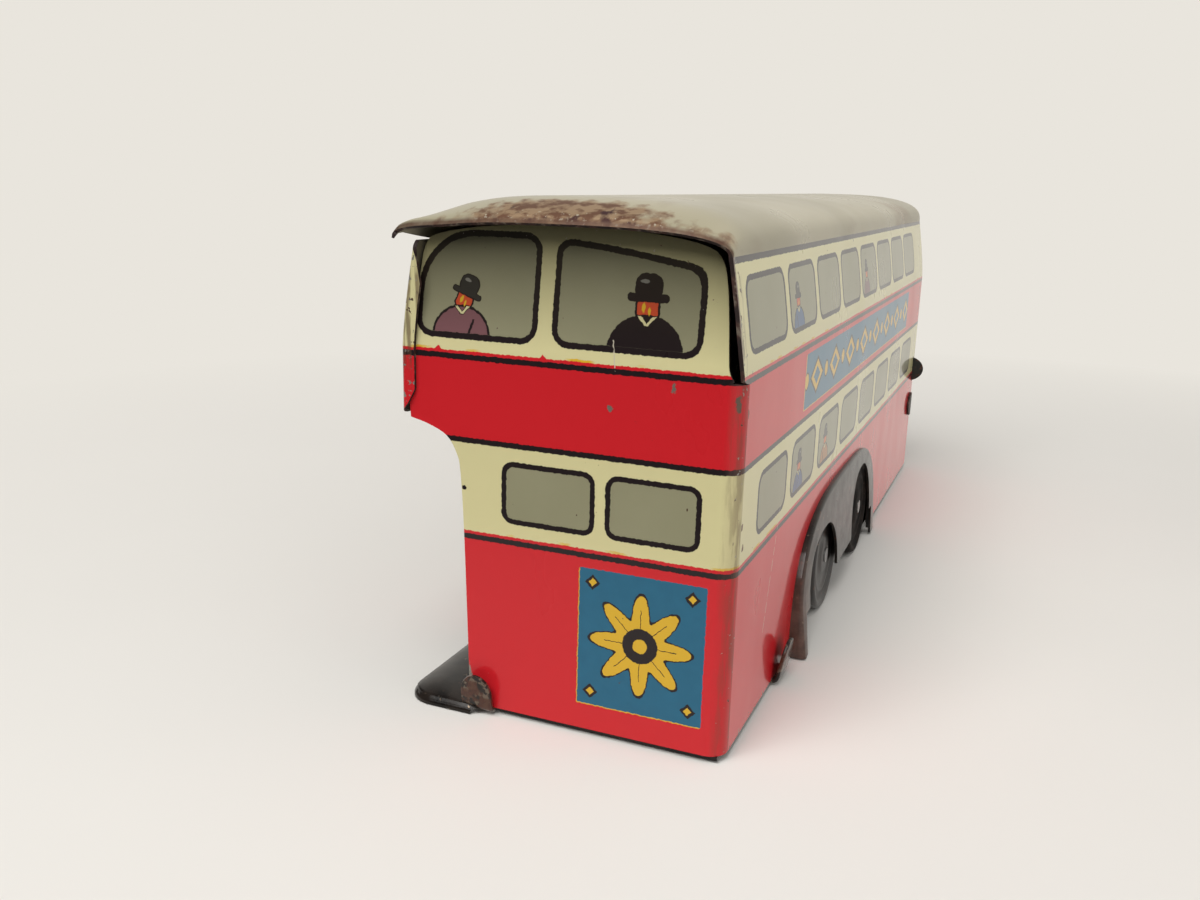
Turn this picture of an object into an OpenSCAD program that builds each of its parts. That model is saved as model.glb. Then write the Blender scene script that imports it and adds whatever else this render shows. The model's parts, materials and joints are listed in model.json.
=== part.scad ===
// Small tinplate double-deck bus with a clockwork drive, in millimetres.
// X points to the front, Y to the nearside, Z up. The origin is on the ground, under the middle of the bus.
// Inside the modules, X counts from the rear face and Z from the lower edge of the body; placed() moves them.

/* [Body shell] */
// Width over the two sides at the lower edge
body_w = 33; // [32:0.5:34]
// Length from the rear face to the front face
body_l = 120; // [114:1:124]
// Height of the roof line above the lower edge
roof_line = 44.7; // [43:0.1:48]
// Rise of the roof above the roof line
roof_rise = 4.3; // [3.8:0.1:5]
// Rise of the roof's rear rim above the roof line
rim_rise = 2.3; // [2:0.1:2.8]
// Length over which the roof bends down to its rear rim
peak_l = 5; // [4:0.1:7]
// How far each side leans in at the roof line
lean_in = 1.4; // [1:0.1:1.8]
// Height at which the sides start to lean in
lean_start = 35; // [34.5:0.5:37]
// Thickness of the printed tin sheet
tin = 0.35; // [0.3:0.01:0.4]
// Height at which the rear panel starts to lean forward
deck_line = 34.4; // [33:0.1:36]
// How far the rear panel leans forward under the roof
panel_lean = 1.6; // [1:0.1:2]
// Reach of the roof behind the rear face
awning = 0.6; // [0.4:0.1:0.9]
// Height over which the rear edge of the sides runs out to the awning
awning_run = 2.1; // [1.5:0.1:3]
// Width of the flange that the nearside folds over the rear panel
flange_w = 1.2; // [0.9:0.1:1.6]
// Reach of the loose roof corner past the nearside
tip_reach = 1.9; // [1:0.1:2.2]
// Length of the loose roof corner
tip_l = 3; // [2:0.1:4]
// Drop of the loose roof corner over its reach
tip_drop = 0.3; // [0.2:0.05:0.4]

/* [Rear platform] */
// Length of the doorway along the nearside
door_l = 18; // [15:0.5:21]
// Height of the doorway
door_h = 28.7; // [27:0.1:30]
// Setback of the platform's edge from the nearside
platform_in = 0.1; // [0.05:0.05:0.15]
// Reach of the platform behind the rear face
platform_out = 1.2; // [0.9:0.1:1.5]
// Radius of the platform's corner
platform_r = 3; // [2:0.1:4]
// Depth of the lip turned down along the platform
lip_h = 0.2; // [0.1:0.05:0.22]

/* [Front panel] */
// Depth of the flange inside the body
front_flange = 3.2; // [2.8:0.1:4]
// Gap all round the flange
front_seat = 0.05; // [0.03:0.01:0.08]
// Distance of the tongues from the front face
tongue_in = 1.8; // [1.5:0.1:2.2]
// Height of the middle of the standing tongue
standing_z = 18.2; // [17.8:0.1:20]
// Height of the standing tongue
standing_h = 4.4; // [3.6:0.1:4.6]
// Reach of the standing tongue past the side
standing_reach = 1.9; // [1.5:0.1:2.6]
// Height of the middle of the folded tongue
folded_z = 11.8; // [11:0.1:13]
// Height of the folded tongue
folded_h = 4; // [3.4:0.1:4.2]
// Length of the folded tongue along the side
folded_l = 3.4; // [2.5:0.1:4]
// Gap round a tongue in its slot
slot_gap = 0.1; // [0.05:0.01:0.15]

/* [Base plate] */
// Thickness of the base plate
base_t = 0.4; // [0.3:0.05:0.5]
// Setback of the base plate from the sides
base_in = 0.3; // [0.2:0.05:0.5]
// Height of the lower edge of the body above the ground
ride_h = 0.7; // [0.65:0.05:0.9]
// Width of a bent-up tongue
lug_w = 4.6; // [4:0.1:5.5]
// Height of a bent-up tongue
lug_h = 4; // [3:0.1:5]
// Lean of a bent-up tongue away from the body, in degrees
lug_tilt = 10; // [4:1:14]
// Gap between the foot of a tongue and the body
lug_gap = 0.35; // [0.2:0.05:0.5]
// Length of a tongue's foot under the base plate's edge
lug_foot = 1.2; // [0.8:0.1:2]

/* [Wheel spats] */
// Distance of the middle of the spats from the rear face
spat_x = 52.5; // [51.5:0.5:53]
// Length of a spat
spat_l = 54; // [53:0.5:56]
// Height of a spat
spat_h = 15.3; // [15:0.1:16]
// Reach of a spat past the side
spat_d = 1.05; // [0.9:0.05:1.3]
// Drop of a spat's legs below the body's lower edge
spat_drop = 0.3; // [0.1:0.05:0.5]
// Width of a spat's legs
spat_leg = 4; // [3:0.1:4]
// Height of the lower edge of a spat between its legs
spat_sill = 4; // [3.5:0.1:4.5]
// Distance between the middles of a spat's wheel openings
spat_pitch = 24; // [23.5:0.1:24.5]
// Radius of a spat's wheel openings
spat_open_r = 7.4; // [7.2:0.1:7.6]
// Cover of a spat over the edge of the body's wheel arch
spat_cover = 1.2; // [0.8:0.1:1.4]
// Radius of the keyhole
keyhole_r = 2.2; // [2:0.1:2.4]

/* [Wheels and axles] */
// Distance of the middle between the axles from the rear face
axle_mid = 54.5; // [54:0.1:55]
// Distance between the axles
wheelbase = 23.2; // [23:0.1:23.6]
// Radius of the wheels
wheel_r = 6.7; // [6.6:0.05:6.8]
// Width of the wheels
wheel_t = 2.4; // [2:0.1:2.6]
// Reach of the wheels' outer faces past the sides
wheel_reach = 0.3; // [0.2:0.05:0.35]
// Gap between the wheels and the base plate
well_gap = 1; // [0.8:0.1:1.4]
// Thickness of the wheels' pressing
wheel_tin = 0.45; // [0.35:0.05:0.6]
// Radius of the wheels' hubs
hub_r = 1.9; // [1.6:0.1:2.4]
// Radius of the axles
axle_r = 0.9; // [0.8:0.05:1]
// Radial clearance of shafts in the motor plates
run_gap = 0.04; // [0.03:0.01:0.06]
// Radial clearance of parts fixed on a shaft
fix_gap = 0.02; // [0.01:0.01:0.03]

/* [Clockwork] */
// Half the distance between the motor plates' inner faces
motor_half = 8.2; // [8:0.1:8.6]
// Thickness of the motor plates
motor_t = 0.6; // [0.5:0.05:0.8]
// Length of the motor plates
motor_l = 37; // [36.5:0.5:38]
// Height of the motor plates
motor_h = 22.5; // [22.5:0.1:24]
// Cut-off corners of the motor plates
motor_cut = 3; // [2:0.1:3]
// Width of the tabs under the motor plates
tab_w = 3; // [2:0.1:4]
// Reach of the tabs below the base plate
tab_drop = 0.2; // [0.1:0.05:0.22]
// Height of the winding arbor above the lower edge
arbor_z = 9.5; // [9.4:0.05:9.8]
// Radius of the winding arbor
arbor_r = 1.5; // [1.4:0.05:1.6]
// Radius of the winding arbor's bearings
arbor_neck_r = 1.2; // [1.1:0.05:1.25]
// Width across the flats of the winding square
square_w = 2; // [1.8:0.05:2.1]
// Length of the winding square
square_l = 4.5; // [4:0.1:5]
// Radius of the pillars
pillar_r = 1.1; // [1:0.05:1.2]
// Radius of the pillars' riveted ends
rivet_r = 0.6; // [0.5:0.05:0.7]
// Distance of the spring's pillar from the arbor
hook_d = 10; // [9.9:0.05:10.2]
// Thickness of the mainspring's strip
spring_t = 0.3; // [0.25:0.05:0.35]
// Width of the mainspring
spring_w = 6.5; // [6:0.1:6.6]
// Radius of the mainspring's inner end
spring_in = 2.2; // [2.1:0.05:2.5]
// Gap between the mainspring and the great wheel
spring_gap = 1; // [0.8:0.05:1.1]
// Gap between fixed neighbours
near_gap = 0.05; // [0.04:0.01:0.08]

/* [Gear train] */
// Size of the teeth: pitch diameter divided by the number of teeth
gear_m = 0.4; // [0.398:0.001:0.402]
// Free play between meshing teeth, along the pitch circle
gear_play = 0.12; // [0.1:0.01:0.14]
// Thickness of the gear wheels
gear_t = 1; // [0.8:0.1:1.2]
// Length of the pinions
pinion_l = 2.2; // [2:0.1:2.4]
// Distance of the great wheel from the middle plane
great_y = 0; // [0:0.05:0.1]
// Distance of the second wheel from the middle plane
second_y = 4; // [3.9:0.05:4.1]
// Radius of the second arbor
second_r = 0.7; // [0.6:0.05:0.75]
// Thickness of the click washer
click_t = 0.3; // [0.25:0.05:0.35]
// Reach of the click washer's arms
click_r = 5.6; // [5:0.1:6]
// Radius of the click washer's middle
click_hub_r = 2.5; // [2.2:0.1:3]
// Gap between the click washer and the great wheel
click_gap = 0.25; // [0.2:0.05:0.3]
// Radius of the holes in the great wheel
great_hole_r = 1.1; // [0.9:0.05:1.2]

/* [Hidden] */
// Cut overrun
over = 1;
// Numbers of teeth, and steps on curves
great_n = 40;
second_n = 32;
pinion_n = 10;
flank_n = 3;
side_n = 6;
roof_n = 9;
bend_n = 4;
arch_n = 24;
spring_turns = 5.5;
spring_n = 26;
// Shape powers of the roof and the spats
roof_pow = 2.8;
spat_pow = 3.2;
lean_pow = 1.3;
// Tooth heights as shares of the module, and the pressure angle
wheel_add_share = 0.7;
wheel_ded_share = 1.2;
pinion_add_share = 0.9;
pinion_ded_share = 1.0;
press_angle = 20;
$fn = 40;

// The rear panel's edge at the platform: shares of the body's width and of the doorway's height
door_y_shares = [0.474, 0.415, 0.358, 0.324, 0.314, 0.303, 0.288, 0.285];
door_z_shares = [0.979, 0.965, 0.934, 0.875, 0.824, 0.613, 0.125, 0];
// The doorway in the nearside: shares of its length and height
door_side_x_shares = [1, 1, 0.975, 0.91, 0.8];
door_side_z_shares = [0, 0.83, 0.92, 0.975, 1];
// The leaning part of the rear panel: shares of half the body's width and of its own height
lean_y_shares = [-0.955, -0.905, -0.855, -0.82, -0.777, -0.715, -0.5, -0.17,
  0.17, 0.5, 0.78, 0.845, 0.875, 0.91, 0.955];
lean_z_shares = [0, 0.15, 0.42, 0.65, 0.8, 0.87, 0.945, 0.985, 0.985, 0.95, 0.91, 0.88, 0.8, 0.4, 0];
// Pillars of the clockwork: shares of the motor plates' length and height
pillar_x_shares = [-0.43, 0.43, -0.45, 0.45];
pillar_z_shares = [0.9, 0.9, 0.11, 0.11];
// Tabs of the motor plates, and the bent-up tongues: shares of the lengths they stand on
tab_x_shares = [-0.12, 0.12];
lug_rear_share = 0.265;
lug_offside_share = 0.168;
lug_nearside_share = 0.86;
// Straight part of a tongue, loose corner's root, holes' circle and click arms' width
lug_straight_share = 0.35;
tip_root_share = 0.88;
hole_circle_share = 0.6;
click_arm_share = 0.28;
hook_angle = 60;

half_w0 = body_w / 2;
wheel_out = half_w0 + wheel_reach;
platform_edge = half_w0 - platform_in;
roof_half = half_w0 - lean_in;
mid_x = body_l / 2;
panel_h = roof_line + rim_rise - tin - deck_line;
panel_tilt = atan(panel_lean / panel_h);
tongue_x = body_l - tongue_in;
spat_a = spat_l / 2;
base_half = half_w0 - base_in;
well_y = wheel_out - wheel_t - well_gap;
axle_z = wheel_r - ride_h;
rear_x = axle_mid - wheelbase / 2;
front_x = axle_mid + wheelbase / 2;
motor_x = axle_mid;
great_r = gear_m * great_n / 2;
second_gear_r = gear_m * second_n / 2;
pinion_gear_r = gear_m * pinion_n / 2;
mesh_1 = great_r + pinion_gear_r;
mesh_2 = second_gear_r + pinion_gear_r;
arbor_dx = motor_x - rear_x;
arbor_dz = arbor_z - axle_z;
arbor_d = sqrt(arbor_dx * arbor_dx + arbor_dz * arbor_dz);
along = (mesh_2 * mesh_2 - mesh_1 * mesh_1 + arbor_d * arbor_d) / (2 * arbor_d);
across = sqrt(mesh_2 * mesh_2 - along * along);
second_x = rear_x + (along * arbor_dx - across * arbor_dz) / arbor_d;
second_z = axle_z + (along * arbor_dz + across * arbor_dx) / arbor_d;
angle_1 = atan2(second_z - arbor_z, second_x - motor_x);
angle_2 = atan2(axle_z - second_z, rear_x - second_x);
motor_out = motor_half + motor_t;
spring_out = hook_d - pillar_r - spring_t / 2 - near_gap;
hook_x = motor_x + hook_d * cos(hook_angle);
hook_z = arbor_z + hook_d * sin(hook_angle);

red = [0.76, 0.15, 0.18];
black = [0.14, 0.13, 0.12];
steel = [0.55, 0.56, 0.58];
brass = [0.75, 0.6, 0.3];
blue_steel = [0.25, 0.27, 0.33];
wheel_grey = [0.3, 0.29, 0.29];

// Sections and outlines
function half_w(z) = half_w0 - lean_in * pow(max(0, z - lean_start) / (roof_line - lean_start), lean_pow);
function rise_at(x) = roof_rise - (roof_rise - rim_rise) * pow(max(0, peak_l - x) / (peak_l + awning), 2);
function half_section(o, rise, foot) = concat([[half_w0 - o, foot]],
  [for (i = [0 : side_n]) let (z = lean_start + (roof_line - lean_start) * i / side_n) [half_w(z) - o, z]],
  [for (i = [1 : roof_n]) let (a = 90 * i / roof_n)
    [(roof_half - o) * pow(cos(a), 2 / roof_pow), roof_line + (rise - o) * pow(sin(a), 2 / roof_pow)]]);
function section(o, rise, foot) = let (h = half_section(o, rise, foot), n = len(h))
  concat(h, [for (i = [n - 2 : -1 : 0]) [-h[i][0], h[i][1]]]);
function ring(x, o, foot) = [for (p = section(o, rise_at(x), foot)) [x, p[0], p[1]]];
function bend_x(i) = (peak_l + awning) * i / bend_n - awning;
function arch(a, h, drop) = concat([[spat_x - a, -drop]],
  [for (i = [0 : arch_n]) let (t = 180 - 180 * i / arch_n)
    [spat_x + a * sign(cos(t)) * pow(abs(cos(t)), 2 / spat_pow), h * pow(sin(t), 2 / spat_pow)]],
  [[spat_x + a, -drop]]);
function half_oval(w, h) = let (s = h * lug_straight_share) concat([[-w / 2, 0]],
  [for (i = [0 : arch_n / 2]) let (t = 180 - 360 * i / arch_n) [w / 2 * cos(t), s + (h - s) * sin(t)]],
  [[w / 2, 0]]);
function platform_outline(o) = let (c = platform_r - platform_out) concat([[door_l, platform_edge - o]],
  [for (i = [0 : arch_n / 2]) let (t = 90 + 180 * i / arch_n)
    [c + (platform_r - o) * cos(t), platform_edge - platform_r + (platform_r - o) * sin(t)]],
  [[o - platform_out, body_w * lug_rear_share]]);

// Gear outlines
function involute(a) = tan(a) * 180 / PI - a;
function tooth_half(q, n) = let (r = gear_m * n / 2, rb = r * cos(press_angle), p = max(q, rb))
  90 / n - gear_play / 4 / r * 180 / PI + involute(press_angle) - involute(acos(rb / p));
function spot(r, a) = [r * cos(a), r * sin(a)];
function flank_radii(n, add, ded) = let (r = gear_m * n / 2, root = r - ded * gear_m, tip = r + add * gear_m,
    start = max(root, r * cos(press_angle)))
  concat(root < start ? [root] : [], [for (j = [0 : flank_n]) start + (tip - start) * j / flank_n]);
function gear(n, add, ded) = let (q = flank_radii(n, add, ded), last = len(q) - 1)
  [for (i = [0 : n - 1]) for (k = [0 : 2 * last + 1]) let (up = k <= last, r = q[up ? k : 2 * last + 1 - k])
    spot(r, 360 * i / n + (up ? -1 : 1) * tooth_half(r, n))];
function spiral(o) = [for (i = [0 : spring_turns * spring_n]) let (s = i / (spring_turns * spring_n),
    r = spring_in + spring_t / 2 + (spring_out - spring_in - spring_t / 2) * s)
  spot(r + o, hook_angle - 360 * spring_turns * (1 - s))];
function turned_back(p) = [for (i = [len(p) - 1 : -1 : 0]) p[i]];

// Placing
module placed() {
  translate([-mid_x, 0, ride_h]) children();
}
module span_x(a, b) {
  translate([a, 0, 0]) rotate([90, 0, 90]) linear_extrude(b - a) children();
}
module span_y(a, b) {
  translate([0, b, 0]) rotate([90, 0, 0]) linear_extrude(b - a) children();
}
module span_z(a, b) {
  translate([0, 0, a]) linear_extrude(b - a) children();
}
module block(a, b) {
  translate(a) cube(b - a);
}
module rod(x, z, r, a, b) {
  translate([x, b, z]) rotate([90, 0, 0]) cylinder(r = r, h = b - a);
}
module lofted(rings) {
  n = len(rings[0]);
  m = len(rings);
  polyhedron(points = [for (r = rings) each r], faces = concat(
    [[for (j = [0 : n - 1]) j]],
    [[for (j = [n - 1 : -1 : 0]) (m - 1) * n + j]],
    [for (k = [0 : m - 2]) for (j = [0 : n - 1]) let (a = k * n + j, b = k * n + (j + 1) % n)
      each [[a, a + n, b + n], [a, b + n, b]]]));
}

// Body
module lower_rear_panel() {
  edge = half_w0 - tin / 2;
  span_x(0, tin) polygon(concat(
    [[-edge, 0], [-edge, deck_line], [edge, deck_line], [edge, door_h]],
    [for (i = [0 : len(door_y_shares) - 1]) [body_w * door_y_shares[i], door_h * door_z_shares[i]]]));
}
module leaning_rear_panel() {
  translate([0, 0, deck_line - tin]) rotate([0, panel_tilt, 0])
    span_x(0, tin) polygon([for (i = [0 : len(lean_y_shares) - 1])
      [half_w0 * lean_y_shares[i], panel_h * lean_z_shares[i]]]);
}
module nearside_flange() {
  low = door_h + flange_w;
  span_x(-tin, tin / 2) polygon(concat([[half_w(door_h) - tin / 2, door_h]],
    [for (i = [0 : side_n]) let (z = low + (roof_line - low) * i / side_n) [half_w(z) - tin / 2, z]],
    [for (i = [side_n : -1 : 0]) let (z = low + (roof_line - low) * i / side_n) [half_w(z) - flange_w, z]]));
}
module loose_corner() {
  y = roof_half * tip_root_share;
  z = roof_line + rim_rise / 2;
  far = roof_half + tip_reach;
  intersection() {
    span_x(-awning, tip_l) polygon([[y, z - tin], [far, z - tip_drop - tin], [far, z - tip_drop], [y, z]]);
    span_z(0, 2 * roof_line) polygon([[-awning - over, y - over], [tip_l + over, y - over], [tip_l + over, y],
      [tip_l, roof_half], [0, far], [-awning - over, far + over]]);
  }
}
module slot(z, h) {
  reach = h / 2 + slot_gap;
  block([tongue_x - slot_gap, -body_w, z - reach], [tongue_x + tin + slot_gap, body_w, z + reach]);
}
module body_shell() {
  open_ring = [for (p = ring(-awning, tin, -over)) [-awning - over, p[1], p[2]]];
  color(red) placed() difference() {
    union() {
      difference() {
        lofted(concat([for (i = [0 : bend_n]) ring(bend_x(i), 0, 0)], [ring(body_l, 0, 0)]));
        lofted(concat([open_ring], [for (i = [0 : bend_n]) ring(bend_x(i), tin, -over)],
          [ring(body_l + over, tin, -over)]));
        span_y(-body_w, body_w) polygon([[-awning - over, -over], [0, -over], [0, deck_line],
          [-awning, deck_line + awning_run], [-awning - over, deck_line + awning_run]]);
        span_y(0, body_w) polygon(concat([[-over, -over], [door_l, -over]],
          [for (i = [0 : len(door_side_x_shares) - 1])
            [door_l * door_side_x_shares[i], door_h * door_side_z_shares[i]]],
          [[-over, door_h]]));
      }
      lower_rear_panel();
      leaning_rear_panel();
      nearside_flange();
      loose_corner();
    }
    span_y(-body_w, body_w) polygon(arch(spat_a - spat_cover, spat_h - spat_cover, over));
    slot(standing_z, standing_h);
    slot(folded_z, folded_h);
  }
}
module tongues() {
  root = half_w(standing_z + standing_h) - front_seat - tin - tin / 2;
  low = folded_z - folded_h / 2;
  high = folded_z + folded_h / 2;
  lying = half_w0 + slot_gap;
  span_x(tongue_x, tongue_x + tin) translate([root, standing_z]) rotate(-90)
    polygon(half_oval(standing_h, half_w0 + standing_reach - root));
  block([tongue_x, root, low], [tongue_x + tin, lying + tin, high]);
  block([tongue_x - folded_l, lying, low], [tongue_x + tin, lying + tin, high]);
}
module front_panel() {
  color(red) placed() {
    difference() {
      span_x(body_l - front_flange, body_l) polygon(section(tin + front_seat, roof_rise, 0));
      span_x(body_l - front_flange - over, body_l - tin)
        polygon(section(tin + front_seat + tin, roof_rise, -over));
    }
    tongues();
    mirror([0, 1, 0]) tongues();
  }
}

// Base plate
module lug() {
  block([-lug_w / 2, -lug_gap - base_t, -base_t], [lug_w / 2, lug_foot, 0]);
  translate([0, -lug_gap, -base_t]) rotate([lug_tilt, 0, 0])
    span_y(-base_t, 0) polygon(half_oval(lug_w, lug_h + base_t));
}
module base_plate() {
  color(black) placed() difference() {
    union() {
      span_z(-base_t, 0) polygon(concat(
        [[0, -base_half], [body_l, -base_half], [body_l, base_half], [door_l, base_half]],
        platform_outline(0), [[0, body_w * lug_rear_share - lug_w / 2]]));
      span_z(-base_t - lip_h, 0) polygon(concat(platform_outline(0), turned_back(platform_outline(base_t))));
      translate([0, body_w * lug_rear_share, 0]) rotate([0, 0, -90]) lug();
      translate([body_l, 0, 0]) rotate([0, 0, 90]) lug();
      translate([body_l * lug_offside_share, -half_w0, 0]) lug();
      translate([body_l * lug_nearside_share, half_w0, 0]) rotate([0, 0, 180]) lug();
    }
    for (s = [-1, 1]) {
      wheel_well(s < 0 ? -body_w : well_y, s < 0 ? -well_y : body_w);
      for (t = tab_x_shares) tab_slot(motor_x + motor_l * t, s * (motor_half + motor_t / 2));
    }
  }
}
module wheel_well(a, b) {
  block([rear_x - wheel_r - well_gap, a, -base_t - over], [front_x + wheel_r + well_gap, b, over]);
}
module tab_slot(x, y) {
  w = tab_w / 2 + near_gap;
  t = motor_t / 2 + near_gap;
  block([x - w, y - t, -base_t - over], [x + w, y + t, over]);
}

// Wheel spats
module spat() {
  face = -half_w0 - spat_d;
  difference() {
    span_y(face, -half_w0) polygon(arch(spat_a, spat_h, spat_drop));
    span_y(face + tin, -half_w0 + over) polygon(arch(spat_a - tin, spat_h - tin, spat_drop + over));
    block([spat_x - spat_a + spat_leg, face - over, -spat_drop - over],
      [spat_x + spat_a - spat_leg, -half_w0 + over, spat_sill]);
    for (s = [-1, 1]) rod(spat_x + s * spat_pitch / 2, spat_sill, spat_open_r, face - over, -half_w0 + over);
  }
}
module offside_spat() {
  color(black) placed() spat();
}
module nearside_spat() {
  color(black) placed() difference() {
    mirror([0, 1, 0]) spat();
    rod(motor_x, arbor_z, keyhole_r, half_w0, half_w0 + spat_d + over);
  }
}

// Wheels and axles
module wheel(x, s) {
  f = wheel_t;
  t = wheel_tin;
  bore = axle_r + fix_gap;
  placed() translate([x, s * (wheel_out - wheel_t), axle_z]) rotate([s < 0 ? 90 : -90, 0, 0])
    rotate_extrude($fn = 48) polygon([[bore, t], [hub_r, t], [hub_r, f - 2 * t], [wheel_r - t, f - 2 * t],
      [wheel_r - t, 0], [wheel_r, 0], [wheel_r, f - t], [wheel_r - t / 2, f - t / 4], [wheel_r - t, f],
      [wheel_r - 2 * t, f], [wheel_r - 3 * t, f - t], [hub_r + t, f - t],
      [hub_r, f - t / 2], [bore, f - t / 2]]);
}
module rear_wheel_offside() {
  color(wheel_grey) wheel(rear_x, -1);
}
module rear_wheel_nearside() {
  color(wheel_grey) wheel(rear_x, 1);
}
module front_wheel_offside() {
  color(wheel_grey) wheel(front_x, -1);
}
module front_wheel_nearside() {
  color(wheel_grey) wheel(front_x, 1);
}
module rear_axle() {
  color(steel) placed() rod(rear_x, axle_z, axle_r, -wheel_out, wheel_out);
}
module front_axle() {
  color(steel) placed() rod(front_x, axle_z, axle_r, -wheel_out, wheel_out);
}

// Clockwork frame
module motor_plate(a) {
  difference() {
    union() {
      span_y(a, a + motor_t) polygon([[motor_x - motor_l / 2, 0], [motor_x + motor_l / 2, 0],
        [motor_x + motor_l / 2, motor_h - motor_cut], [motor_x + motor_l / 2 - motor_cut, motor_h],
        [motor_x - motor_l / 2 + motor_cut, motor_h], [motor_x - motor_l / 2, motor_h - motor_cut]]);
      for (t = tab_x_shares)
        block([motor_x + motor_l * t - tab_w / 2, a, -base_t - tab_drop],
          [motor_x + motor_l * t + tab_w / 2, a + motor_t, tab_w]);
    }
    for (x = [rear_x, front_x]) rod(x, axle_z, axle_r + run_gap, a - over, a + motor_t + over);
    rod(motor_x, arbor_z, arbor_neck_r + run_gap, a - over, a + motor_t + over);
    rod(second_x, second_z, second_r + run_gap, a - over, a + motor_t + over);
    for (i = [0 : len(pillar_x_shares) - 1])
      rod(pillar_x(i), pillar_z(i), rivet_r + fix_gap, a - over, a + motor_t + over);
    rod(hook_x, hook_z, rivet_r + fix_gap, a - over, a + motor_t + over);
  }
}
function pillar_x(i) = motor_x + motor_l * pillar_x_shares[i];
function pillar_z(i) = motor_h * pillar_z_shares[i];
module motor_plate_offside() {
  color(steel) placed() motor_plate(-motor_out);
}
module motor_plate_nearside() {
  color(steel) placed() motor_plate(motor_half);
}
module pillar(x, z) {
  color(steel) placed() {
    rod(x, z, pillar_r, -motor_half, motor_half);
    rod(x, z, rivet_r, -motor_out, motor_out);
  }
}
module pillar_rear_upper() {
  pillar(pillar_x(0), pillar_z(0));
}
module pillar_front_upper() {
  pillar(pillar_x(1), pillar_z(1));
}
module pillar_rear_lower() {
  pillar(pillar_x(2), pillar_z(2));
}
module pillar_front_lower() {
  pillar(pillar_x(3), pillar_z(3));
}
module spring_pillar() {
  pillar(hook_x, hook_z);
}
module mainspring() {
  color(blue_steel) placed() translate([motor_x, 0, arbor_z])
    span_y(great_y - spring_gap - spring_w, great_y - spring_gap)
      polygon(concat(spiral(-spring_t / 2), turned_back(spiral(spring_t / 2))));
}

// Winding arbor and gear train
module winding_arbor() {
  color(steel) placed() {
    rod(motor_x, arbor_z, arbor_r, near_gap - motor_half, motor_half - near_gap);
    rod(motor_x, arbor_z, arbor_neck_r, -motor_out - motor_t, wheel_out - square_l);
    block([motor_x - square_w / 2, wheel_out - square_l - over, arbor_z - square_w / 2],
      [motor_x + square_w / 2, wheel_out, arbor_z + square_w / 2]);
  }
}
module click_washer() {
  a = great_y + gear_t + click_gap;
  color(brass) placed() difference() {
    union() {
      rod(motor_x, arbor_z, click_hub_r, a, a + click_t);
      for (i = [0 : 2]) translate([motor_x, 0, arbor_z]) rotate([0, 120 * i, 0])
        block([-click_r * click_arm_share / 2, a, 0], [click_r * click_arm_share / 2, a + click_t, click_r]);
    }
    rod(motor_x, arbor_z, arbor_r + fix_gap, a - over, a + click_t + over);
  }
}
module great_wheel() {
  color(brass) placed() difference() {
    translate([motor_x, 0, arbor_z]) rotate([0, -angle_1, 0])
      span_y(great_y, great_y + gear_t) polygon(gear(great_n, wheel_add_share, wheel_ded_share));
    rod(motor_x, arbor_z, arbor_r + run_gap, great_y - over, great_y + gear_t + over);
    for (i = [0 : 5]) let (c = spot(great_r * hole_circle_share, 60 * i))
      rod(motor_x + c[0], arbor_z + c[1], great_hole_r, great_y - over, great_y + gear_t + over);
  }
}
module second_arbor() {
  color(steel) placed() rod(second_x, second_z, second_r, -motor_out, motor_out);
}
module small_pinion(x, z, a, y) {
  translate([x, 0, z]) rotate([0, -a, 0])
    span_y(y - pinion_l / 2, y + pinion_l / 2) polygon(gear(pinion_n, pinion_add_share, pinion_ded_share));
}
module second_pinion() {
  color(brass) placed() difference() {
    small_pinion(second_x, second_z, angle_1 + 180 + 180 / pinion_n, great_y + gear_t / 2);
    rod(second_x, second_z, second_r + fix_gap, great_y - pinion_l, great_y + gear_t + pinion_l);
  }
}
module second_wheel() {
  color(brass) placed() difference() {
    translate([second_x, 0, second_z]) rotate([0, -angle_2, 0])
      span_y(second_y, second_y + gear_t) polygon(gear(second_n, wheel_add_share, wheel_ded_share));
    rod(second_x, second_z, second_r + fix_gap, second_y - over, second_y + gear_t + over);
  }
}
module axle_pinion() {
  color(brass) placed() difference() {
    small_pinion(rear_x, axle_z, angle_2 + 180 + 180 / pinion_n, second_y + gear_t / 2);
    rod(rear_x, axle_z, axle_r + fix_gap, second_y - pinion_l, second_y + gear_t + pinion_l);
  }
}

body_shell();
front_panel();
base_plate();
offside_spat();
nearside_spat();
rear_wheel_offside();
rear_wheel_nearside();
front_wheel_offside();
front_wheel_nearside();
rear_axle();
front_axle();
motor_plate_offside();
motor_plate_nearside();
pillar_rear_upper();
pillar_front_upper();
pillar_rear_lower();
pillar_front_lower();
spring_pillar();
mainspring();
winding_arbor();
click_washer();
great_wheel();
second_arbor();
second_pinion();
second_wheel();
axle_pinion();
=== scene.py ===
# %% [markdown]
# # A pocket-size tin bus
# The toy is folded from one printed sheet of tin, with a black base, two wheel spats and a small
# clockwork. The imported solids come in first: they hold every part in its place, in metres, and each
# piece below is drawn over its own solid in that same frame.

# %% Load the frame
import json
import bmesh
import bpy
from math import copysign, cos, hypot, pi, radians, sin
from mathutils import Matrix, Vector


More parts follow.
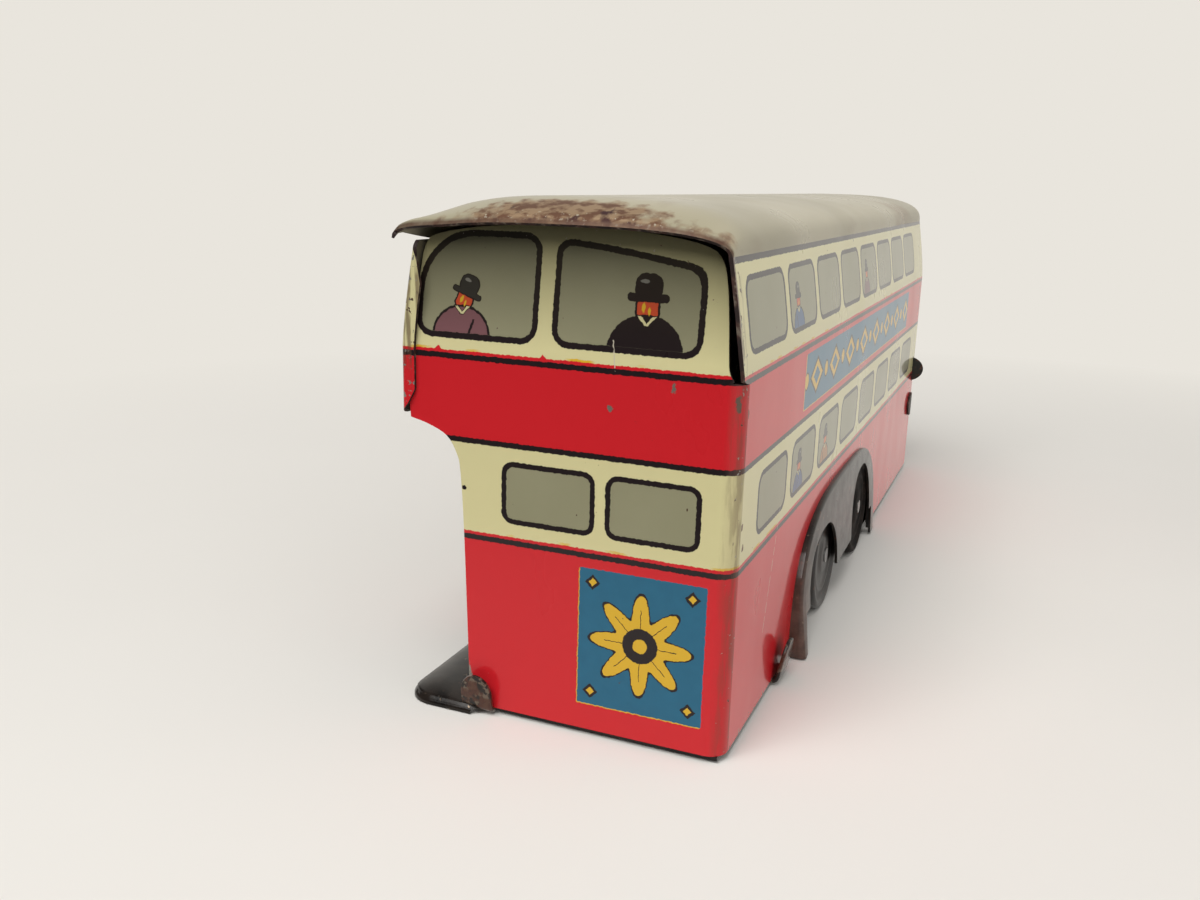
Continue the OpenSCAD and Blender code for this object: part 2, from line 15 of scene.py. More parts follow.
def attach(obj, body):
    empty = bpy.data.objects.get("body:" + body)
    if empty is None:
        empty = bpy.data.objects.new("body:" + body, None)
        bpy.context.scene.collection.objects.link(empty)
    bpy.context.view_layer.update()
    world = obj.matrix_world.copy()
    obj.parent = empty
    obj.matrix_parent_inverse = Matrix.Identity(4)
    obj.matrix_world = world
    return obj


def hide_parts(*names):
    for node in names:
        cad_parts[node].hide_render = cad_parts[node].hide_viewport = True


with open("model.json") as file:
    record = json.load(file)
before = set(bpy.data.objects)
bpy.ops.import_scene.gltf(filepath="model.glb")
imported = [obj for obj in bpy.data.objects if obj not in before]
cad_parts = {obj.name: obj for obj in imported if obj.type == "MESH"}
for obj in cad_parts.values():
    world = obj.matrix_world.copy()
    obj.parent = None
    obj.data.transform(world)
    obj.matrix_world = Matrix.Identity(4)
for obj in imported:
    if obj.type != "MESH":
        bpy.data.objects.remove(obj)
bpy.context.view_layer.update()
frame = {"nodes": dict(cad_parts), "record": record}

scene = bpy.context.scene
print("nodes in the frame:", len(frame["nodes"]))

# %% [markdown]
# A maker of tin toys draws in millimetres, from the rear face forwards and from the lower edge of
# the body up. One helper turns such a drawing place into a place in the scene, so that every number
# below can be read as a size on the real toy.

# %% Drawing sizes, in millimetres
LENGTH, HALF_W, ROOF_LINE, ROOF_RISE, RIM_RISE, PEAK_L = 120.0, 16.5, 44.7, 4.3, 2.3, 5.0
LEAN_IN, LEAN_START, DECK, PANEL_LEAN = 1.4, 35.0, 34.4, 1.6
RIDE, TIN, AWNING, DOOR_L, DOOR_H = 0.7, 0.35, 0.6, 18.0, 28.7
SPAT_X, SPAT_L, SPAT_H, AXLES, AXLE_Z = 52.5, 54.0, 15.3, (42.9, 66.1), 6.0
MM, SIDES = 0.001, (("offside", -1), ("nearside", 1))


def spot(x, y, z):
    return Vector(((x - LENGTH / 2) * MM, y * MM, (z + RIDE) * MM))


def half_width(z):
    lean = max(0.0, z - LEAN_START) / (ROOF_LINE - LEAN_START)
    return HALF_W - LEAN_IN * lean ** 1.3


print("rear lower corner at", tuple(round(c, 4) for c in spot(0, -HALF_W, 0)))

# %% [markdown]
# The camera stands low behind the offside corner, close enough that the front looks much smaller
# than the rear. Its turn, tilt and roll come from the printed lines, which run true along the toy.

# %% Camera
def added(name, data):
    made = bpy.data.objects.new(name, data)
    scene.collection.objects.link(made)
    return made


turn, tilt, roll = (radians(a) for a in (22.469, 14.019, -1.558))
ahead = Vector((cos(turn) * cos(tilt), sin(turn) * cos(tilt), -sin(tilt)))
level = Vector((sin(turn), -cos(turn), 0))
below = ahead.cross(level)
side_way = cos(roll) * level + sin(roll) * below
down_way = cos(roll) * below - sin(roll) * level
lens = bpy.data.cameras.new("camera")
lens.sensor_width, lens.lens, lens.clip_start = 36, 32.53, 0.001
camera = added("camera", lens)
stand = Matrix.Translation((-0.1459, -0.0393, 0.0512))
camera.matrix_world = stand @ Matrix((side_way, -down_way, -ahead)).transposed().to_4x4()
scene.camera = camera
print("camera looks along", tuple(round(c, 3) for c in ahead))

# %% [markdown]
# Printed tin is flat inks side by side, with rough little edges. The print could be painted as a
# picture, but then it would blur close up. Here each ink is worked out in millimetres, so its edges
# stay sharp. `Wire` lets the node sums be written as plain sums.

# %% Node arithmetic
class Wire:
    """A number that runs through a node tree."""

    def __init__(self, socket):
        self.socket = socket

    def __add__(self, other):
        return sum_of("ADD", self, other)

    def __sub__(self, other):
        return sum_of("SUBTRACT", self, other)

    def __rsub__(self, other):
        return sum_of("SUBTRACT", other, self)

    def __mul__(self, other):
        return sum_of("MULTIPLY", self, other)

    def __truediv__(self, other):
        return sum_of("DIVIDE", self, other)

    __radd__ = __add__
    __rmul__ = __mul__


def sum_of(operation, *parts, clamp=False):
    tree = next(p.socket.id_data for p in parts if isinstance(p, Wire))
    node = tree.nodes.new("ShaderNodeMath")
    node.operation = operation
    node.use_clamp = clamp
    for socket, part in zip(node.inputs, parts):
        if isinstance(part, Wire):
            tree.links.new(part.socket, socket)
        else:
            socket.default_value = part
    return Wire(node.outputs[0])


def size_of(a):
    return sum_of("ABSOLUTE", a)


def larger(a, b):
    return sum_of("MAXIMUM", a, b)


def smaller(a, b):
    return sum_of("MINIMUM", a, b)


print("seven node sums")

# %% [markdown]
# Every printed shape starts as a distance from its own outline. A mask of comparisons could do, but a
# distance can be widened and softened later: a dark outline is the same shape, a little larger.

# %% Shapes from distances
def reach_of(du, dv):
    return sum_of("SQRT", du * du + dv * dv)


def inside(distance, soft=0.05):
    """1 where the distance is below zero, 0 above, with a soft edge in millimetres."""
    return sum_of("MULTIPLY_ADD", distance, -1 / soft, 0.5, clamp=True)


def stripe(distance, width):
    return inside(size_of(distance) - width / 2)


def between(a, low, high):
    return stripe(a - (low + high) / 2, high - low)


def rounded(u, v, left, right, low, high, radius):
    """Distance from the outline of a box with round corners."""
    du = larger(size_of(u - (left + right) / 2) - ((right - left) / 2 - radius), 0.0)
    dv = larger(size_of(v - (low + high) / 2) - ((high - low) / 2 - radius), 0.0)
    return reach_of(du, dv) - radius


def oval(u, v, cu, cv, ru, rv):
    return (reach_of((u - cu) / ru, (v - cv) / rv) - 1.0) * min(ru, rv)


print("four shapes")

# %% [markdown]
# A litho press puts one ink after another on the sheet, and each plate is a little out of place.
# `Press` keeps that order: it starts from a ground colour, takes one ink at a time, and at the end
# gives the sheet its varnish.

# %% The press
def colour(red, green, blue):
    return tuple(c / 12.92 if c <= 0.04045 else ((c + 0.055) / 1.055) ** 2.4
                 for c in (red / 255, green / 255, blue / 255)) + (1.0,)


CREAM, RED, PANE = colour(211, 204, 155), colour(202, 34, 42), colour(139, 137, 109)
BLUE, INK, YELLOW = colour(38, 104, 134), colour(34, 26, 28), colour(214, 172, 48)
BARE, RUST = colour(150, 146, 138), colour(84, 52, 40)


class Press:
    """One printed or painted finish."""

    def __init__(self, name, ground):
        self.material = bpy.data.materials.new(name)
        self.material.use_nodes = True
        self.tree = self.material.node_tree
        self.shader = self.tree.nodes["Principled BSDF"]
        self.place = self.tree.nodes.new("ShaderNodeTexCoord").outputs["Object"]
        self.shade = ground

    def grain(self, size, detail=2.0, stretch=(1, 1, 1), shift=0.0):
        """Cloudy noise with lumps of about the given size in millimetres."""
        mapping = self.tree.nodes.new("ShaderNodeMapping")
        mapping.inputs["Scale"].default_value = stretch
        mapping.inputs["Location"].default_value = (shift, shift, shift)
        cloud = self.tree.nodes.new("ShaderNodeTexNoise")
        cloud.inputs["Scale"].default_value = 1 / (size * MM)
        cloud.inputs["Detail"].default_value = detail
        self.feed(mapping.inputs["Vector"], self.place)
        self.feed(cloud.inputs["Vector"], mapping.outputs["Vector"])
        return Wire(cloud.outputs["Fac"])

    def drawing(self, wobble=0.22):
        """Drawing places x, y, z in millimetres, with the rough edge of a printed ink."""
        parts = self.tree.nodes.new("ShaderNodeSeparateXYZ")
        self.feed(parts.inputs[0], self.place)
        places = []
        for socket, start, shift in zip(parts.outputs, (LENGTH / 2, 0.0, -RIDE), (5.7, 0.0, 3.1)):
            place = Wire(socket) * 1000 + start
            if wobble:
                place = place + (self.grain(0.35, shift=shift) - 0.5) * wobble
            places.append(place)
        return places

    def ink(self, shade, mask):
        mix = self.tree.nodes.new("ShaderNodeMix")
        mix.data_type = "RGBA"
        self.feed(mix.inputs["Factor"], mask)
        self.feed(mix.inputs["A"], self.shade)
        self.feed(mix.inputs["B"], shade)
        self.shade = mix.outputs["Result"]

    def outlined(self, shade, shape, rim, where):
        """A shape with a dark line round it, kept to where it may show."""
        self.ink(INK, inside(shape - rim) * where)
        self.ink(shade, inside(shape) * where)

    def feed(self, socket, value):
        value = value.socket if isinstance(value, Wire) else value
        if isinstance(value, bpy.types.NodeSocket):
            self.tree.links.new(value, socket)
        else:
            socket.default_value = value

    def varnish(self, rough, coat=0.0, bump=None, depth=0.02, metal=0.0, specular=0.5):
        settings = {"Base Color": self.shade, "Roughness": rough, "Metallic": metal, "Coat Weight": coat,
                    "Coat Roughness": 0.05, "Specular IOR Level": specular}
        for label, value in settings.items():
            self.feed(self.shader.inputs[label], value)
        if bump is not None:
            relief = self.tree.nodes.new("ShaderNodeBump")
            relief.inputs["Strength"].default_value = 0.6
            relief.inputs["Distance"].default_value = depth * MM
            self.feed(relief.inputs["Height"], bump)
            self.feed(self.shader.inputs["Normal"], relief.outputs["Normal"])
        print("finish", self.material.name, "with", len(self.tree.nodes), "nodes")
        return self.material

# %% [markdown]
# Wear on tin starts at the edges and folds: the ink rubs away, the tin shows grey, and where the
# tin is gone as well the steel rusts. The helpers below add that wear to any finish.

# %% Wear
def chips(press, mask, size, amount):
    """Ink lost in small flakes inside the mask; returns where bare metal shows."""
    flake = press.grain(size, 4.0, shift=1.3) + mask * amount
    lost = inside(0.78 - flake, 0.03)
    press.ink(BARE, lost)
    press.ink(RUST, lost * inside(0.52 - press.grain(size * 2.2, 3.0, shift=7.9), 0.08))
    return lost


def one_chip(press, u, v, cu, cv, ru, rv, shade=colour(128, 122, 112), ragged=0.7):
    edge = (press.grain(0.5, 4.0, shift=2.2 + cu) - 0.5) * ragged
    lost = inside(oval(u, v, cu, cv, ru, rv) + edge, 0.08)
    press.ink(shade, lost)
    return lost


def specks(press, amount):
    press.ink(colour(78, 58, 48), inside(press.grain(0.7, 2.0, shift=6.6) - amount, 0.03))


def scratch(press, u, v, start, end):
    """A thin broken scratch between two places."""
    du, dv = end[0] - start[0], end[1] - start[1]
    length = hypot(du, dv)
    along = ((u - start[0]) * du + (v - start[1]) * dv) / length
    across = ((v - start[1]) * du - (u - start[0]) * dv) / length
    broken = inside(0.47 - press.grain(0.8, 2.0, shift=4.4), 0.1)
    press.ink(colour(196, 188, 170), stripe(across, 0.09) * between(along, 0.0, length) * broken)


def old_varnish(press, wear, coat=0.55, specular=0.12):
    """Varnish with smears in its gloss and the slow waves of hand-folded tin."""
    smear = press.grain(9.0, 4.0, stretch=(1, 1, 0.5), shift=9.1)
    rough = sum_of("ADD", 0.2 + smear * 0.2, wear * 0.3, clamp=True)
    waves = press.grain(7.0, 1.0, shift=6.2) * 0.7 + press.grain(0.9, 3.0) * 0.06 - wear * 0.25
    return press.varnish(rough, coat, waves, 0.09, wear * 0.6, specular)


print("wear: chips, specks, scratches, varnish")

# %% [markdown]
# Small passengers look out of some windows. Each is built of a few soft shapes, drawn in one ink
# over another: coat, collar, a plain face and a round hat. They are nobody in particular.

# %% Passengers
def passenger(press, u, v, centre, sill, size, coat, hat, window, tilt=0.0):
    s, u, v = size, u - centre, v - sill
    hu, hv = u + (v - 3 * s) * tilt, v - u * tilt
    body = oval(u, v, 0.0, 0.0, 3.2 * s, 2.9 * s)
    arm = larger(size_of(u + 0.9 * s + v * 0.3), size_of(v - 0.7 * s) - 0.9 * s)
    collar = larger(size_of(size_of(u) - (v - 2.2 * s) * 0.9) - 0.16 * s, size_of(v - 2.6 * s) - 0.4 * s)
    face = rounded(hu, hv, -0.95 * s, 0.95 * s, 2.6 * s, 4.7 * s, 0.75 * s)
    cheek = smaller(oval(hu, hv, 0.35 * s, 3.7 * s, 0.16 * s, 0.4 * s),
                    oval(hu, hv, -0.2 * s, 3.4 * s, 0.13 * s, 0.35 * s))
    crown = rounded(hu, hv, -1.15 * s, 1.15 * s, 4.4 * s, 6.5 * s, 0.85 * s)
    brim = rounded(hu, hv, -1.8 * s, 1.8 * s, 4.3 * s, 4.8 * s, 0.24 * s)
    shine = oval(hu, hv, 0.4 * s, 5.9 * s, 0.4 * s, 0.18 * s)
    skin = colour(198, 78, 48)
    for shape, shade, rim in ((face, skin, 0.2), (body, coat, 0.24), (collar, CREAM, 0.1)):
        press.outlined(shade, shape, rim * s, window)
    press.ink(YELLOW, inside(cheek) * window)
    press.ink(INK, inside(arm - 0.13 * s) * inside(body) * window)
    press.outlined(hat, smaller(crown, brim), 0.12 * s, window)
    press.ink(colour(128, 126, 118), inside(shine) * window)


print("a passenger takes 9 shapes")

# %% [markdown]
# The panels share the red bands with their black lines and the grey panes. They could be drawn anew
# each time; as helpers they meet at the corners, as on a sheet printed in one go. The yellow plate
# shows past the red one in places, as it does on cheap printing.

# %% Bands, panes and rosette
LOWER_TOP, UPPER_FOOT, UPPER_TOP = 17.85, 26.6, 34.95
BLACK_LINES, LINE_WIDTH = (17.28, 26.62, 34.4), 0.52


def bands(press, z):
    """Cream ground with two red bands, a slipped yellow plate and black lines."""
    slip = (press.grain(5.0, 2.0, shift=1.9) - 0.5) * 0.5
    patchy = inside(0.58 - press.grain(4.0, 1.0, shift=8.3), 0.1)
    for top in (LOWER_TOP, UPPER_TOP):
        press.ink(YELLOW, between(z + slip * 0.7, top - 0.6, top + 0.2) * patchy)
    press.ink(RED, inside(z + slip * 0.4 - LOWER_TOP))
    press.ink(RED, between(z + slip * 0.4, UPPER_FOOT, UPPER_TOP))
    for middle in BLACK_LINES:
        press.ink(INK, stripe(z - middle, LINE_WIDTH))


def windows(press, shapes, outline):
    """Grey panes with dark outlines; returns the mask of the glass."""
    edge = shapes[0]
    for shape in shapes[1:]:
        edge = smaller(edge, shape)
    dust = press.grain(6.0, 3.0, shift=2.7)
    press.ink(PANE, inside(edge))
    press.ink(colour(158, 155, 128), inside(edge) * dust * 0.5)
    press.ink(INK, between(edge, -outline, 0.0))
    return inside(edge + outline)


def rosette(press, u, v, cu, cv, size):
    """Eight yellow petals round a dark ring with a yellow dot."""
    du, dv = u - cu, v - cv
    reach = reach_of(du, dv)
    angle = sum_of("ARCTAN2", dv, du)
    petal = reach - size * (0.74 + 0.24 * sum_of("COSINE", angle * 8.0))
    press.ink(INK, inside(petal - 0.28))
    press.ink(YELLOW, inside(petal) * inside(0.34 * size - reach))
    vein = stripe(sum_of("SINE", angle * 4.0) * reach, 0.3)
    press.ink(INK, vein * inside(petal) * inside(reach - 0.7 * size))
    press.ink(YELLOW, inside(reach - 0.14 * size))


print("three shared drawings")

# %% [markdown]
# The rear panel carries the largest print: four windows with thick outlines and a blue square with a
# plain rosette. Under the awning the print is painted darker towards the top, as painted shade from the
# awning. Each large chip is put in its own place; the fine specks come from noise.

# %% Rear print
def rear_print():
    press = Press("rear_print", CREAM)
    _, y, z = press.drawing()
    bands(press, z)
    lower = [rounded(y, z, left, right, 19.1, 25.1, 1.2)
             for left, right in ((-3.4, 6.0), (-13.4, -4.4))]
    windows(press, lower, 0.5)
    left = rounded(y, z, 2.7, 15.1, 36.0, 45.8, 1.7)
    left = sum_of("SMOOTH_MAX", left, (y + z - 15.1 - 45.8) * 0.707 + 2.3, 2.6)
    right = rounded(y, z, -12.7, 1.3, 36.0, 45.8, 1.7)
    right = sum_of("SMOOTH_MAX", right, z - 45.7 - (y + 0.8) * 0.17, 2.4)
    glass = windows(press, [left, right], 0.56)
    passenger(press, y, z, -7.5, 36.3, 1.0, INK, INK, glass)
    passenger(press, y, z, 10.4, 36.4, 0.86, colour(122, 84, 88), colour(50, 48, 45), glass, 0.34)
    panel = rounded(y, z, -14.3, -2.1, 2.65, 16.1, 0.15)
    press.ink(YELLOW, inside(rounded(y, z, -14.25, -2.02, 2.55, 16.05, 0.15)))
    press.ink(BLUE, inside(panel))
    press.ink(colour(30, 84, 112), inside(panel) * press.grain(1.6, 4.0, shift=4.9) * 0.6)
    rosette(press, y, z, -8.2, 9.4, 5.0)
    for cu in (-13.0, -3.4):
        for cv in (4.0, 14.8):
            press.outlined(YELLOW, size_of(y - cu) + size_of(z - cv) - 0.4, 0.35, 1.0)
    for cu in (2.0, 12.7):
        press.ink(RED, inside(larger(size_of(y - cu) + (z - 35.3), 34.8 - z)))
    # Painted shade: the print is darkened towards the top, for the shadow under the awning.
    press.ink(colour(38, 34, 22), inside(41.2 - z, 11.0) * 0.82)
    # Painted shade at the offside fold: both inks darken the corner for the dark that the curved fold
    # mirrors, the second broken into streaks. The same corner mask also leads the chips, which are real
    # wear.
    corner = inside(y + half_width(20) - 0.7, 1.6) * inside(z - DECK, 0.4)
    streak = press.grain(0.5, 4.0, stretch=(1, 1, 0.12), shift=3.7)
    press.ink(colour(96, 50, 40), corner * 0.3)
    press.ink(colour(92, 66, 50), corner * inside(0.52 - streak, 0.1) * 0.5)
    press.ink(INK, inside(oval(y, z, 9.95, 22.0, 0.22, 0.2)))
    rim = larger(inside(ROOF_LINE - z, 1.0),
                 inside(0.9 - (z - DECK) + size_of(y + 15.2) * 1.2, 0.6))
    wear = chips(press, corner * 0.4 + rim * 0.25, 0.5, 0.3)
    for cu, cv, ru, rv in ((-4.6, 31.2, 0.24, 0.36), (-10.4, 33.5, 0.18, 0.42)):
        wear = larger(wear, one_chip(press, y, z, cu, cv, ru, rv))
    one_chip(press, y, z, -16.0, 32.5, 0.22, 0.7, colour(96, 78, 66), 0.6)
    wear = larger(wear, one_chip(press, y, z, 9.5, 1.9, 0.4, 2.1, colour(158, 152, 142), 0.5))
    scratch(press, y, z, (-4.6, 37.1), (-5.0, 34.4))
    specks(press, 0.215)
    return old_varnish(press, wear, 0.4)


REAR_PRINT = rear_print()

# %% [markdown]
# Both sides take the same print: eight windows on each deck, one blue band with plain lozenges
# between the decks, and the black line under the roof. The windows repeat, so one window is drawn
# and the drawing place is wrapped round every 13.3 mm.

# %% Side print
def window_row(x, z, first, pitch, half, low, high, start, end):
    """One drawn window, wrapped along the side and cut off past the last one."""
    local = sum_of("WRAP", x - first, pitch / 2, -pitch / 2)
    row = rounded(local, z, -half, half, low, high, 1.7)
    return larger(row, larger(start - x, x - end))


def side_print():
    press = Press("side_print", CREAM)
    x, y, z = press.drawing()
    bands(press, z)
    upper = window_row(x, z, 9.6, 13.3, 6.0, 36.4, 43.1, 4.5, 110.0)
    upper = smaller(upper, rounded(x, z, 1.9, 15.6, 36.4, 43.1, 1.7))
    lower = window_row(x, z, 12.75, 13.35, 5.75, 18.9, 25.1, 6.0, 113.0)
    glass = windows(press, [upper, lower], 0.5)
    riders = ((20.5, 36.9, colour(60, 92, 130)), (60.5, 36.9, colour(120, 84, 84)),
              (24.0, 19.4, colour(60, 80, 120)), (37.6, 19.4, colour(170, 120, 70)))
    for centre, sill, coat in riders:
        passenger(press, x, z, centre, sill, 0.66, coat, colour(60, 57, 54), glass)
    band = rounded(x, z, 24.4, 103.0, 27.7, 33.6, 0.2)
    press.ink(YELLOW, inside(rounded(x, z, 24.2, 103.0, 27.6, 33.55, 0.2)))
    on_band = inside(band)
    press.ink(BLUE, on_band)
    every = sum_of("WRAP", x - 30.0, 5.0, -5.0)
    lozenge = (size_of(every) / 3.1 + size_of(z - 30.65) / 1.9 - 1.0) * 1.6
    press.outlined(YELLOW, lozenge + 0.12, 0.32, on_band)
    press.ink(BLUE, inside(lozenge + 0.75) * on_band)
    dots = oval(sum_of("WRAP", x - 35.0, 5.0, -5.0), z, 0.0, 30.65, 0.8, 0.8)
    press.outlined(YELLOW, dots, 0.2, on_band)
    press.ink(INK, inside(44.15 - z))
    edge = larger(inside(x - 0.9, 1.2), inside(z - 0.5, 0.8))
    streak = press.grain(0.5, 4.0, stretch=(1, 1, 0.12), shift=3.7)
    press.ink(colour(92, 66, 50), inside(x - 0.7, 1.4) * inside(0.55 - streak, 0.12) * 0.7)
    wear = chips(press, edge, 0.6, 0.16)
    press.ink(colour(96, 66, 54), inside(x + 0.3) * inside(y) * 0.85)
    for cu, cv, size in ((1.6, 31.6, 0.5), (1.9, 21.4, 0.3), (2.6, 19.3, 0.25), (1.5, 18.2, 0.3)):
        chip = one_chip(press, x, z, cu, cv, size, size * 1.2, colour(112, 84, 66), 0.9)
        wear = larger(wear, chip)
    scratch(press, x, z, (16.6, 19.6), (12.4, 7.5))
    specks(press, 0.25)
    return old_varnish(press, wear)


SIDE_PRINT = side_print()

# %% [markdown]
# The front is printed like the rest: two upper windows, a split windscreen, a striped grille in a
# cream frame and two plain lamps.

# %% Front print
def front_print():
    press = Press("front_print", CREAM)
    _, y, z = press.drawing()
    bands(press, z)
    across = size_of(y)
    shapes = [rounded(across, z, 0.9, 13.2, 36.0, 44.4, 1.7),
              rounded(across, z, 0.9, 14.2, 18.9, 25.3, 1.3)]
    windows(press, shapes, 0.6)
    frame_edge = rounded(y, z, -4.6, 4.6, 3.4, 15.6, 1.6)
    press.outlined(CREAM, frame_edge, 0.35, 1.0)
    grille = rounded(y, z, -3.6, 3.6, 4.4, 14.2, 1.0)
    press.ink(colour(92, 90, 84), inside(grille))
    press.ink(INK, inside(grille) * stripe(sum_of("WRAP", y, 0.45, -0.45), 0.45))
    press.ink(INK, between(grille, -0.3, 0.1))
    lamp = oval(across, z, 9.6, 8.6, 2.5, 2.5)
    press.outlined(colour(222, 216, 178), lamp, 0.45, 1.0)
    press.ink(colour(170, 166, 140), stripe(lamp + 0.75, 0.25))
    press.ink(INK, stripe(z - 1.6, 1.0))
    edge = larger(inside(across * -1.0 + 14.9, 0.6), inside(z - 0.4, 0.6))
    wear = chips(press, edge, 0.6, 0.2)
    specks(press, 0.25)
    return old_varnish(press, wear)


FRONT_PRINT = front_print()

# %% [markdown]
# The roof is a plain olive-grey enamel. Along the rear rim it has rubbed through to brown rust with
# bright specks of metal, and faint stains lie along the rest.

# %% Roof paint
def roof_paint():
    press = Press("roof_paint", colour(168, 161, 138))
    x, y, _ = press.drawing(0)
    press.ink(colour(144, 138, 114), press.grain(15.0, 4.0, stretch=(0.5, 1, 1), shift=2.1))
    press.ink(colour(178, 171, 148), inside(0.46 - press.grain(26.0, 2.0, shift=4.0), 0.2) * 0.6)
    rear = inside(x - 1.6, 7.0)
    rust = inside(0.9 - press.grain(4.2, 6.0, shift=5.1) - rear * 0.36, 0.16)
    patch = oval(y, x, 0.2, 0.2, 8.6, 2.5) + (press.grain(1.5, 6.0, shift=3.3) - 0.5) * 3.2
    rust = larger(rust, inside(patch, 0.8))
    press.ink(colour(150, 122, 94), rust * 0.85)
    deep = inside(0.51 - press.grain(0.8, 6.0, stretch=(1, 0.6, 1), shift=4.1), 0.14)
    press.ink(colour(98, 66, 50), rust * deep * 0.9)
    pits = inside(0.88 - press.grain(1.5, 5.0, shift=1.2) - rear * 0.38, 0.1)
    press.ink(colour(66, 42, 42), pits * rust)
    bare = inside(0.9 - press.grain(0.45, 5.0, shift=8.8) - rear * 0.36, 0.06)
    press.ink(colour(188, 180, 160), bare * rust * 0.8)
    stain = inside(press.grain(12.0, 5.0, stretch=(0.35, 1, 1), shift=7.3) - 0.38, 0.1)
    press.ink(colour(120, 96, 66), stain * 0.5)
    rim = inside(x + 0.28, 0.3)
    press.ink(colour(84, 60, 48), rim * (0.5 + press.grain(0.8, 5.0, shift=6.4) * 0.7))
    wear = larger(rust, rim)
    return old_varnish(press, wear * 0.8, 0.05, 0.2)


ROOF_PAINT = roof_paint()

# %% [markdown]
# Plain finishes go with the prints: the rusty cut edge of the sheet, the unprinted inside, and black
# paint. One recipe serves all the blacks: smooth on the base, with brown dust low at the rear of the
# spats, a little glossy on the rear wheels, dull and painted darker on the front ones as painted shade
# for wheels deep in the spats, and worn on two of the tongues.

# %% Plain finishes
def raw_edge():
    press = Press("raw_edge", colour(70, 46, 40))
    press.ink(colour(128, 118, 104), inside(0.56 - press.grain(0.5, 4.0), 0.1) * 0.7)
    press.ink(colour(44, 30, 28), inside(0.47 - press.grain(1.4, 3.0, shift=3.0), 0.1))
    return press.varnish(0.55 + press.grain(0.4) * 0.3, 0.0, press.grain(0.3, 4.0), 0.05, 0.35)


def inner_tin():
    press = Press("inner_tin", colour(150, 146, 132))
    press.ink(colour(122, 112, 90), press.grain(8.0, 5.0, stretch=(0.5, 1, 1)))
    press.ink(RUST, inside(press.grain(3.0, 5.0, shift=2.0) - 0.34, 0.08) * 0.6)
    return press.varnish(0.34 + press.grain(3.0, 4.0) * 0.25, 0.0, press.grain(5.0), 0.06, 0.75)


def black_paint(name, shade, rough, coat, specular, worn=0.3, dust=0.0):
    press = Press(name, shade)
    press.ink(colour(58, 48, 42), inside(0.5 - press.grain(2.6, 5.0, shift=4.2), 0.25) * 0.4)
    lost = inside(press.grain(0.7, 4.0, shift=1.1) - worn, 0.04)
    press.ink(colour(122, 108, 94), lost * 0.8)
    press.ink(RUST, inside(press.grain(1.5, 4.0, shift=9.0) - worn, 0.06) * 0.8)
    if dust:
        x, _, z = press.drawing(0)
        low = inside(x - 30.0, 4.0) * inside(z - 9.0, 9.0)
        press.ink(colour(122, 96, 86), low * press.grain(0.9, 5.0, shift=3.4) * dust)
    gloss = rough + press.grain(2.0, 4.0, shift=5.0) * 0.22
    relief = press.grain(1.1, 3.0) * 0.5 + press.grain(0.25, 2.0) * 0.1 - lost * 0.4
    return press.varnish(gloss, coat, relief, 0.05, lost * 0.7, specular)


RAW_EDGE, INNER_TIN = raw_edge(), inner_tin()
BLACK = black_paint("black_paint", colour(12, 10, 9), 0.12, 0.0, 0.25)
SPAT_BLACK = black_paint("spat_paint", colour(22, 19, 17), 0.2, 0.35, 0.12, dust=0.9)
WHEEL_BLACK = black_paint("wheel_paint", colour(36, 34, 33), 0.3, 0.1, 0.5)
# Painted shade: the front wheels are painted darker than the rear ones, for the shadow of the spats.
WHEEL_DULL_SHADED = black_paint("dull_shaded_wheel_paint", colour(16, 15, 15), 0.6, 0.0, 0.1)
WORN_BLACK = black_paint("worn_black_paint", colour(30, 27, 25), 0.2, 0.4, 0.12, worn=0.46)

# %% [markdown]
# The body is one flat blank with two long folds. In Blender it is made the same way: an outline is
# cut as one face, scored wherever it has to bend, and each corner is then moved to its folded place.
# Solidify gives the sheet its thickness, with the raw edge as its own finish.

# %% Sheet-metal helpers
def blank(outline):
    """One flat face, in drawing millimetres."""
    bm = bmesh.new()
    bm.faces.new([bm.verts.new((a, b, 0)) for a, b in outline])
    return bm


def score(bm, axis, places):
    """Straight cuts across the blank, so that it can bend there."""
    way = Vector((axis == 0, axis == 1, 0))
    for place in places:
        bmesh.ops.bisect_plane(bm, geom=bm.verts[:] + bm.edges[:] + bm.faces[:], dist=1e-4,
                               plane_co=way * place, plane_no=way)


def punch(bm, left, right, low, high):
    """A slot through the blank."""
    score(bm, 0, (left, right))
    score(bm, 1, (low, high))
    inner = [f for f in bm.faces if left < f.calc_center_median().x < right
             and low < f.calc_center_median().y < high]
    bmesh.ops.delete(bm, geom=inner, context="FACES")


def face_out(bm, outward, mixed=False):
    """Turns the sheet over if it faces the wrong way; mixed faces are first made to agree."""
    if mixed:
        bmesh.ops.recalc_face_normals(bm, faces=bm.faces[:])
    bm.normal_update()
    if sum(f.normal.dot(Vector(outward)) * f.calc_area() for f in bm.faces) < 0:
        bmesh.ops.reverse_faces(bm, faces=bm.faces[:])


def fold(bm, place, outward):
    """Moves each corner to its folded place, with the print outside."""
    for v in bm.verts:
        v.co = place(v.co.x, v.co.y)
    face_out(bm, outward)


def curled(b, flat, radius, turn):
    """Place along a strip that runs flat, curls up through an angle and runs on straight."""
    if b <= flat:
        return b, 0.0
    a = min((b - flat) / radius, turn)
    more = max(0.0, b - flat - radius * turn)
    return (flat + radius * sin(a) + more * cos(turn),
            radius * (1 - cos(a)) + more * sin(turn))


def arc(cu, cv, ru, rv, start, end, count):
    """Places along part of an oval, between two angles in degrees."""
    angles = [radians(start + (end - start) * i / count) for i in range(count + 1)]
    return [(cu + ru * cos(a), cv + rv * sin(a)) for a in angles]


